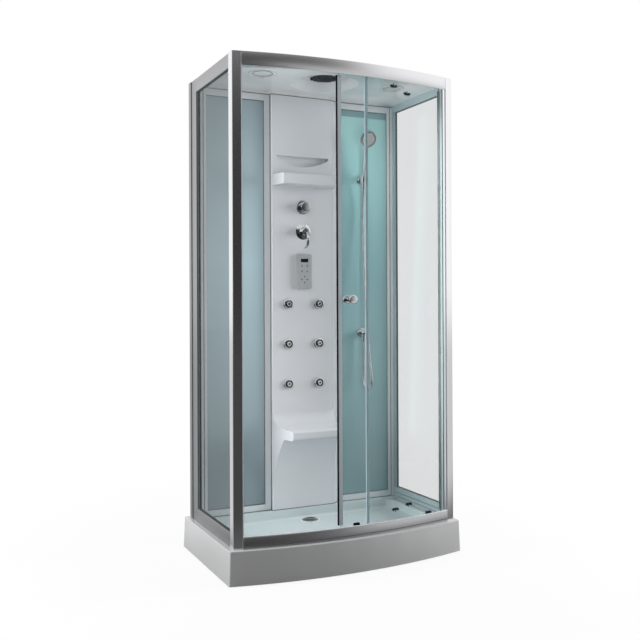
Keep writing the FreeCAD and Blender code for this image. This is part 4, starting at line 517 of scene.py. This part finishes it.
def ribbedTubeTree():
    tree, sheet, given = newTree("ribbedTube", {
        "Radius": (floatSocket, 0.007), "Rib pitch": (floatSocket, 0.004), "Rib share": (floatSocket, 0.07),
        "Steps per rib": (floatSocket, 4.0), "Sides": (intSocket, 14), "Finish": (materialSocket, None)})
    step = given["Rib pitch"] / given["Steps per rib"]
    fine = sheet.node("GeometryNodeResampleCurve", {"mode": "LENGTH"},
                      {"Curve": given["Geometry"], "Length": step})
    along = sheet.node("GeometryNodeSplineParameter", output=1)
    wave = sheet.maths("COSINE", along / given["Rib pitch"] * (2 * math.pi))
    swell = given["Radius"] * (1 - (1 - wave) * given["Rib share"] * 0.5)
    circle = sheet.node("GeometryNodeCurvePrimitiveCircle", {"mode": "RADIUS"},
                        {"Resolution": given["Sides"], "Radius": 1.0})
    tube = sheet.node("GeometryNodeCurveToMesh", {},
                      {"Curve": fine, "Profile Curve": circle, "Scale": swell, "Fill Caps": True})
    smooth = sheet.node("GeometryNodeSetShadeSmooth", {}, {"Geometry": tube})
    finishTree(sheet, smooth, given["Finish"])
    return tree


def makeHose(look):
    route = curveThrough("hoseRoute", look["route"], look["steps"])
    line = bpy.data.meshes.new_from_object(route.evaluated_get(bpy.context.evaluated_depsgraph_get()))
    mesh = grown(route, ribbedTubeTree(), {
        "Radius": look["radius"], "Rib pitch": look["ribPitch"], "Rib share": look["ribShare"],
        "Sides": look["sides"], "Finish": finishes["hoseMetal"]})
    bpy.data.objects.remove(route)
    piece = newPiece("showerHose", mesh)
    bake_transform(piece)
    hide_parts("shower_hose")


makeHose(hose)


# small nozzles in rows, inside a round face
def nozzleTree():
    tree, sheet, given = newTree("nozzleField", {
        "Field radius": (floatSocket, 0.08), "Pitch": (floatSocket, 0.009),
        "Nozzle radius": (floatSocket, 0.0018), "Nozzle height": (floatSocket, 0.002),
        "Tip share": (floatSocket, 0.6), "Sides": (intSocket, 8), "Finish": (materialSocket, None)})
    across = given["Field radius"] * 2.0
    count = sheet.maths("FLOOR", across / given["Pitch"]) + 1.0
    rows = sheet.node("GeometryNodeMeshGrid", {},
                      {"Size X": across, "Size Y": across, "Vertices X": count, "Vertices Y": count})
    away = sheet.vector("LENGTH", sheet.node("GeometryNodeInputPosition"), (0, 0, 0), 1)
    outside = sheet.node("FunctionNodeCompare", {"data_type": "FLOAT", "operation": "GREATER_THAN"},
                         {0: away, 1: given["Field radius"]})
    kept = sheet.node("GeometryNodeDeleteGeometry", {"domain": "POINT"},
                      {"Geometry": rows, "Selection": outside})
    nozzle = sheet.node("GeometryNodeMeshCone", {}, {
        "Vertices": given["Sides"], "Radius Top": given["Nozzle radius"] * given["Tip share"],
        "Radius Bottom": given["Nozzle radius"], "Depth": given["Nozzle height"]})
    spread = sheet.node("GeometryNodeInstanceOnPoints", {}, {"Points": kept, "Instance": nozzle})
    finishTree(sheet, spread, given["Finish"])
    return tree


nozzles = nozzleTree()


def nozzleField(name, centre, facing, body, look):
    holder = newPiece(name + "Seed", bpy.data.meshes.new(name + "Seed"))
    mesh = grown(holder, nozzles, {
        "Field radius": look["radius"], "Pitch": look["pitch"], "Nozzle radius": look["nozzle"],
        "Nozzle height": look["height"], "Finish": finishes[look["finish"]]})
    bpy.data.objects.remove(holder)
    turn = Vector(facing).to_track_quat("Z", "Y").to_matrix().to_4x4()
    mesh.transform(Matrix.Translation(centre) @ turn)
    piece = newPiece(name, mesh)
    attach(piece, body)


def middleOf(box):
    return ((box[0][0] + box[1][0]) / 2, (box[0][1] + box[1][1]) / 2)


rain = {"proud": 0.0005, "radius": 0.066, "pitch": 0.0078, "nozzle": 0.0022, "height": 0.002,
        "finish": "blackRubber"}
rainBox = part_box("rain_head")
rainMiddle = (*middleOf(rainBox), rainBox[0][2] - rain["proud"])
nozzleField("rainNozzles", rainMiddle, (0, 0, -1), "cabin", rain)

spray = {
    "centre": (0.324, 0.1526, 1.9234), "facing": (0, -0.88295, -0.46947),
    "radius": 0.030, "pitch": 0.0065, "nozzle": 0.0016, "height": 0.0016, "finish": "greyRubber",
    "rim": {"at": 0.0385, "radius": 0.0026, "sides": 10, "count": 60},
    "groove": {"at": 0.034, "radius": 0.0011, "sides": 6, "count": 60},
}
nozzleField("sprayNozzles", spray["centre"], spray["facing"], "hand_shower", spray)


# rubber and metal beads that follow the joints of the panes and walls
def beadTree():
    tree, sheet, given = newTree("bead", {
        "Radius": (floatSocket, 0.002), "Sides": (intSocket, 6), "Finish": (materialSocket, None)})
    line = sheet.node("GeometryNodeMeshToCurve", {}, {"Mesh": given["Geometry"]})
    circle = sheet.node("GeometryNodeCurvePrimitiveCircle", {"mode": "RADIUS"},
                        {"Resolution": given["Sides"], "Radius": given["Radius"]})
    tube = sheet.node("GeometryNodeCurveToMesh", {},
                      {"Curve": line, "Profile Curve": circle, "Fill Caps": True})
    finishTree(sheet, sheet.node("GeometryNodeSetShadeSmooth", {}, {"Geometry": tube}), given["Finish"])
    return tree


beads = beadTree()


def beadAlong(name, lines, body, radius, finish, sides=6):
    seed = bpy.data.meshes.new(name + "Seed")
    corners = [point for line, closed in lines for point in line]
    edges, first = [], 0
    for line, closed in lines:
        edges += [(first + k, first + k + 1) for k in range(len(line) - 1)]
        if closed:
            edges.append((first + len(line) - 1, first))
        first += len(line)
    seed.from_pydata(corners, edges, [])
    holder = newPiece(name + "Seed", seed)
    mesh = grown(holder, beads, {"Radius": radius, "Sides": sides, "Finish": finishes[finish]})
    bpy.data.objects.remove(holder)
    piece = newPiece(name, mesh)
    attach(piece, body)


def windowOnX(x, y0, y1, z0, z1):
    return ([(x, y0, z0), (x, y1, z0), (x, y1, z1), (x, y0, z1)], True)


def windowOnY(y, x0, x1, z0, z1):
    return ([(x0, y, z0), (x1, y, z0), (x1, y, z1), (x0, y, z1)], True)


def upright(x, y, z0, z1):
    return ([(x, y, z0), (x, y, z1)], False)


gasket = {
    "radius": 0.0013, "finish": "greyRubber", "sideInset": 0.0015, "railHeight": 0.0615, "postGap": 0.0005,
    "wallInset": 0.0105, "wallProud": 0.0012,
}
sideGlass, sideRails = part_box("left_side_glass"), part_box("side_rails")
sideLow, sideHigh = sideRails[0][2] + gasket["railHeight"], sideRails[1][2] - gasket["railHeight"]
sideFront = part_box("post_front_left")[1][1] + gasket["postGap"]
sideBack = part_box("post_back_left")[0][1] - gasket["postGap"]
for name, sign in (("left", -1), ("right", 1)):
    outside = sign * (abs(sideGlass[0][0]) + gasket["sideInset"])
    inside = sign * (abs(sideGlass[1][0]) - gasket["sideInset"])
    windows = [windowOnX(x, sideFront, sideBack, sideLow, sideHigh) for x in (outside, inside)]
    beadAlong(name + "SideGasket", windows, "cabin", gasket["radius"], gasket["finish"])
    wall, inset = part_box("back_%s_panel" % name), gasket["wallInset"]
    window = windowOnY(wall[0][1] - gasket["wallProud"], wall[0][0] + inset, wall[1][0] - inset,
                       wall[0][2] + inset, wall[1][2] - inset)
    beadAlong(name + "WallGasket", [window], "cabin", gasket["radius"], gasket["finish"])


# dark joint lines where the walls meet the ceiling, the tray and each other
joint = {
    "radius": 0.0016, "finish": "greyRubber", "wallFace": 0.2312, "columnFace": 0.2133, "columnSide": 0.1612,
    "wallEnd": 0.4862, "aboveTray": 0.0012, "aboveWall": 0.0006,
}


def aroundColumn(z):
    side, face, wall, end = joint["columnSide"], joint["columnFace"], joint["wallFace"], joint["wallEnd"]
    corners = ((-end, wall), (-side, wall), (-side, face), (side, face), (side, wall), (end, wall))
    return ([(x, y, z) for x, y in corners], False)


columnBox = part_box("centre_column")
wallLow, wallHigh = columnBox[0][2] + joint["aboveTray"], columnBox[1][2] + joint["aboveWall"]
jointLines = [aroundColumn(wallLow), aroundColumn(wallHigh)]
jointLines += [upright(x, joint["wallFace"], wallLow, wallHigh)
               for x in (-joint["wallEnd"], -joint["columnSide"], joint["columnSide"], joint["wallEnd"])]
beadAlong("wallJoints", jointLines, "cabin", joint["radius"], joint["finish"])


# the low bowed rail: a painted highlight along its free edge, and a dark line where it meets the tray
lowRail = {"steps": 40, "lipDrop": 0.0008, "lipInset": 0.001, "lip": 0.0024, "lipSides": 10,
           "jointRise": 0.0125, "jointInset": -0.0008, "joint": 0.0012}


def bowLine(z, inset):
    radius, steps = bow["radius"] - inset, lowRail["steps"]
    places = [bow["reach"] * (2 * k / steps - 1) for k in range(steps + 1)]
    return ([(x, bow["axis"] - math.sqrt(radius * radius - x * x), z) for x in places], False)


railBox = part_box("front_bottom_rail")
lipLine = bowLine(railBox[1][2] - lowRail["lipDrop"], lowRail["lipInset"])
jointLine = bowLine(railBox[0][2] + lowRail["jointRise"], lowRail["jointInset"])
beadAlong("railLip", [lipLine], "cabin", lowRail["lip"], "edgeWhite", lowRail["lipSides"])
beadAlong("railJoint", [jointLine], "cabin", lowRail["joint"], "greyRubber")


# the folded edges along the inner faces of the low side rails
groove = {"radius": 0.0011, "face": 0.5016, "heights": (0.157, 0.176)}
grooves = [([(sign * groove["face"], sideFront, z), (sign * groove["face"], sideBack, z)], False)
           for sign in (-1, 1) for z in groove["heights"]]
beadAlong("railGrooves", grooves, "cabin", groove["radius"], "greyRubber")


# painted highlights: white lines on the column's two long corners and light metal lines on the inner corner of
# each front post, standing in for glints on their rounded edges
edge = {"columnX": 0.1594, "columnProud": 0.0012, "columnEnds": 0.004, "column": 0.0014,
        "postX": 0.4868, "postSunk": 0.0006, "postEnds": 0.002, "post": 0.0012}
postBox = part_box("post_front_left")
columnHighlightLines = [upright(sign * edge["columnX"], joint["columnFace"] + edge["columnProud"],
                       wallLow + edge["columnEnds"], wallHigh - edge["columnEnds"]) for sign in (-1, 1)]
beadAlong("columnCorners", columnHighlightLines, "cabin", edge["column"], "edgeWhite")
postEdges = [upright(sign * edge["postX"], postBox[0][1] + edge["postSunk"],
                     postBox[0][2] + edge["postEnds"], postBox[1][2] - edge["postEnds"]) for sign in (-1, 1)]
beadAlong("postEdges", postEdges, "cabin", edge["post"], "stileMetal")


# rings: round the jets, the roof's discs, the drain cover and the face of the hand shower
def ring(centre, facing, radius, count):
    turn = Vector(facing).to_track_quat("Z", "Y").to_matrix()
    angles = [2 * math.pi * k / count for k in range(count)]
    rim = [Vector(centre) + turn @ Vector((radius * math.cos(a), radius * math.sin(a), 0)) for a in angles]
    return ([tuple(point) for point in rim], True)


jets = {
    "x": 0.0795, "heights": (0.745, 0.934, 1.123), "bezelFront": 0.2052, "nozzleFront": 0.1972,
    "mouth": {"at": 0.0134, "sunk": 0.0, "radius": 0.0013, "count": 40},
    "rim": {"at": 0.0215, "sunk": 0.0006, "radius": 0.0014, "count": 40},
    "hole": {"at": 0.0016, "sunk": 0.0, "radius": 0.0016, "count": 16},
    "collar": {"at": 0.0088, "sunk": 0.0022, "radius": 0.0012, "count": 24},
}
towardsDoor = (0, -1, 0)


def jetRing(x, z, front, look):
    return ring((x, front + look["sunk"], z), towardsDoor, look["at"], look["count"])


jetPlaces = [(sign * jets["x"], z) for z in jets["heights"] for sign in (-1, 1)]
# painted highlights: the white rim and collar rings stand in for glints on the chrome bezels and nozzles
for name, key, slot, finish in (("jetMouths", "mouth", "black_rubber", "blackRubber"),
                                ("jetRims", "rim", "chrome", "edgeWhite")):
    rings = [jetRing(x, z, jets["bezelFront"], jets[key]) for x, z in jetPlaces]
    beadAlong(name, rings, "cabin", jets[key]["radius"], finish)
for number, (x, z) in enumerate(jetPlaces, 1):
    for name, key, slot, finish in (("jetHole", "hole", "black_rubber", "blackRubber"),
                                    ("jetRing", "collar", "chrome", "edgeWhite")):
        rings = [jetRing(x, z, jets["nozzleFront"], jets[key])]
        body = "jet_nozzle_%d" % number
        beadAlong("%s%d" % (name, number), rings, body, jets[key]["radius"], finish)

discs = {"proud": 0.0004, "inset": 0.0015, "innerShare": 0.72, "radius": 0.0009, "count": 60}
for name in ("lamp", "speaker"):
    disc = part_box("roof_" + name)
    centre, reach = (*middleOf(disc), disc[0][2] + discs["proud"]), (disc[1][0] - disc[0][0]) / 2
    reaches = (reach - discs["inset"], reach * discs["innerShare"])
    rings = [ring(centre, (0, 0, 1), at, discs["count"]) for at in reaches]
    beadAlong(name + "Outline", rings, "cabin", discs["radius"], "greyRubber")

drain = {"rings": (0.011, 0.020, 0.029), "radius": 0.0009, "count": 40}
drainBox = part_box("drain_cover")
drainMiddle = (*middleOf(drainBox), drainBox[1][2])
drainRings = [ring(drainMiddle, (0, 0, 1), at, drain["count"]) for at in drain["rings"]]
beadAlong("drainRings", drainRings, "drain_cover", drain["radius"], "greyRubber")

for name, key, finish in (("sprayRim", "rim", "softChrome"), ("sprayGroove", "groove", "blackRubber")):
    look = spray[key]
    rings = [ring(spray["centre"], spray["facing"], look["at"], look["count"])]
    beadAlong(name, rings, "hand_shower", look["radius"], finish, look["sides"])


# a flat print with a little thickness, from its outlines seen from the front
def printed(outlines, front, thick):
    work = bmesh.new()
    for outline in outlines:
        near = [work.verts.new((x, front, z)) for x, z in outline]
        far = [work.verts.new((x, front + thick, z)) for x, z in outline]
        work.faces.new(near)
        work.faces.new(list(reversed(far)))
        for k in range(len(outline)):
            after = (k + 1) % len(outline)
            work.faces.new((near[after], near[k], far[k], far[after]))
    bmesh.ops.recalc_face_normals(work, faces=work.faces)
    mesh = bpy.data.meshes.new("printed")
    work.to_mesh(mesh)
    work.free()
    return mesh


# marks on the control panel: a bar under each key's sign, and four arrows round the pad
panelMarks = {
    "rows": (1.3045, 1.2785), "columns": (-0.013, 0.013), "front": 0.1981, "thick": 0.0006,
    "bar": {"rise": -0.0036, "half": 0.0038, "tall": 0.0008},
    "square": {"rise": 0.0014, "half": 0.0021, "tall": 0.0024},
    "arrow": {"half": 0.0030, "foot": -0.0014, "tip": 0.0042},
    "pad": {"centre": 1.2385, "tip": 0.0189, "foot": 0.0125, "half": 0.0044},
}


def barAt(x, z, look):
    half, low, high = look["half"], z + look["rise"] - look["tall"], z + look["rise"] + look["tall"]
    return [(x - half, low), (x + half, low), (x + half, high), (x - half, high)]


def keyOutlines(look):
    shapes, arrow, pad = [], look["arrow"], look["pad"]
    for row, z in enumerate(look["rows"]):
        for column, x in enumerate(look["columns"]):
            shapes.append(barAt(x, z, look["bar"]))
            if row == column:
                shapes.append([(x - arrow["half"], z + arrow["foot"]), (x + arrow["half"], z + arrow["foot"]),
                               (x, z + arrow["tip"])])
            else:
                shapes.append(barAt(x, z, look["square"]))
    tip, foot, half, centre = pad["tip"], pad["foot"], pad["half"], pad["centre"]
    for dx, dz in ((1, 0), (0, 1), (-1, 0), (0, -1)):
        shapes.append([(dx * foot - dz * half, centre + dz * foot + dx * half),
                       (dx * foot + dz * half, centre + dz * foot - dx * half),
                       (dx * tip, centre + dz * tip)])
    return shapes


marks = newPiece("panelMarks", printed(keyOutlines(panelMarks), panelMarks["front"], panelMarks["thick"]))
paint(marks, "blackRubber")
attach(marks, bodyOf["control_panel"])
print("trim made")


# lamps: soft and wide ones outside the cabin, and small ones inside it
lamps = {
    "key": {"place": (4.0, -1.0, 1.7), "aim": (0.0, 0.0, 1.1), "size": (2.0, 2.2), "power": 165.0},
    "left": {"place": (-3.6, 0.4, 1.9), "aim": (-0.5, 0.0, 0.9), "size": (1.6, 2.2), "power": 110.0},
    "inner": {"place": (-0.32, -0.18, 1.15), "aim": (-0.20, 0.24, 1.15), "size": (0.35, 1.9), "power": 2.1},
    "right": {"place": (0.28, -0.20, 1.25), "aim": (1.23, 0.10, 1.20), "size": (0.3, 1.4), "power": 3.2},
    "rightTop": {"place": (0.28, -0.10, 1.75), "aim": (1.03, 0.25, 2.30), "size": (0.3, 0.3), "power": 0.45},
}


def addLamp(name, look):
    lamp = bpy.data.lights.new(name, "AREA")
    lamp.shape = "RECTANGLE"
    lamp.size, lamp.size_y = look["size"]
    lamp.energy = look["power"]
    holder = newPiece(name, lamp)
    holder.location = look["place"]
    holder.rotation_euler = (Vector(look["aim"]) - Vector(look["place"])).to_track_quat("-Z", "Y").to_euler()
    holder.visible_camera = False
    holder.visible_glossy = False


# the floor is white to the camera, grey to soft light, and shows in metal as bright only where a zone says so
floorLook = {
    "size": 60, "colour": (0.86, 0.86, 0.86), "under": (0.30, 0.30, 0.30),
    "nearWhite": 0.90, "nearRadius": 0.9, "farRadius": 2.2,
    "gloss": 0.06, "closeGloss": 0.05, "closeRadius": (1.0, 1.5),
    "right": {"gloss": 0.55, "east": (0.2, 1.4), "south": (0.4, 1.1)},
    "back": {"gloss": 0.3, "north": (0.1, 0.8)},
    "side": {"gloss": 0.3, "east": (1.5, 2.4), "north": (-1.0, 0.0)},
    "left": {"gloss": 0.32, "west": (0.55, 0.9), "north": (-0.6, -0.1)},
}


def lightRays(tree, *labels):
    rays = tree.nodes.new("ShaderNodeLightPath")
    return [Field(tree, rays.outputs[label]) for label in labels]


def addFloor(look):
    bpy.ops.mesh.primitive_plane_add(size=look["size"])
    floor = bpy.context.object
    floor.name = "studioFloor"
    material = bpy.data.materials.new("studioFloor")
    material.use_nodes = True
    tree = material.node_tree
    sheet = Field(tree)
    tree.nodes.remove(tree.nodes["Principled BSDF"])
    camera, glossy = lightRays(tree, "Is Camera Ray", "Is Glossy Ray")
    place = sheet.node("ShaderNodeNewGeometry", output=0)
    away = sheet.vector("LENGTH", place, (0, 0, 0), 1)
    east, north = (sheet.part(place, axis) for axis in (0, 1))
    matte = sheet.node("ShaderNodeBsdfDiffuse", {},
                       {"Color": sheet.blend(camera, rgba(look["under"]), rgba(look["colour"]))})
    right, back, side, left = (look[key] for key in ("right", "back", "side", "left"))
    tone = look["gloss"] + (1 - away.held(*look["closeRadius"])) * look["closeGloss"]
    tone = tone + east.held(*right["east"]) * (0 - north).held(*right["south"]) * right["gloss"]
    tone = tone + north.held(*back["north"]) * back["gloss"]
    tone = tone + east.held(*side["east"]) * north.held(*side["north"]) * side["gloss"]
    tone = tone + (0 - east).held(*left["west"]) * north.held(*left["north"]) * left["gloss"]
    strength = camera + glossy * (1 - camera) * tone
    white = sheet.node("ShaderNodeEmission", {}, {"Color": (1, 1, 1, 1), "Strength": strength})
    far = away.held(look["nearRadius"], look["farRadius"])
    share = camera * (look["nearWhite"] + far * (1 - look["nearWhite"])) + glossy * (1 - camera)
    both = sheet.node("ShaderNodeMixShader", {}, {0: share, 1: matte, 2: white})
    sheet.feed(tree.nodes["Material Output"].inputs["Surface"], both)
    floor.data.materials.append(material)


# the surroundings: white to the camera, with a dark stretch in front that the metal shows
worldLook = {
    "soft": 0.55, "softFront": 0.05, "glossFront": 0.035, "frontEdge": (0.0, 0.15),
    "darkLeft": (-0.95, -0.60), "darkRight": (0.34, 0.60),  # -1 towards the left, 1 towards the right
    "highEdge": (0.23, 0.50), "highShare": 0.9,
    "least": 0.0001,  # keeps the direction straight up from dividing by nothing
}


def addWorld(look):
    world = bpy.data.worlds.new("studio")
    scene.world = world
    world.use_nodes = True
    tree = world.node_tree
    sheet = Field(tree)
    camera, glossy, through = lightRays(tree, "Is Camera Ray", "Is Glossy Ray", "Is Transmission Ray")
    direction = sheet.node("ShaderNodeTexCoord", output=0)
    east, north, up = (sheet.part(direction, axis) for axis in (0, 1, 2))
    turn = east / (sheet.maths("SQRT", east * east + north * north) + look["least"])
    front = (0 - north).held(*look["frontEdge"])
    front = front * turn.held(*look["darkLeft"]) * (1 - turn.held(*look["darkRight"]))
    soft = look["soft"] - front * (look["soft"] - look["softFront"])
    gloss = 1 - front * (1 - look["glossFront"]) * (1 - up.held(*look["highEdge"]) * look["highShare"])
    strength = soft + glossy * (gloss - soft)
    strength = strength + sheet.maths("MAXIMUM", camera, through) * (1 - strength)
    background = tree.nodes["Background"]
    sheet.feed(background.inputs["Strength"], strength)
    background.inputs["Color"].default_value = (1, 1, 1, 1)


addFloor(floorLook)
addWorld(worldLook)
for name, look in lamps.items():
    addLamp(name + "Lamp", look)
print("studio ready")
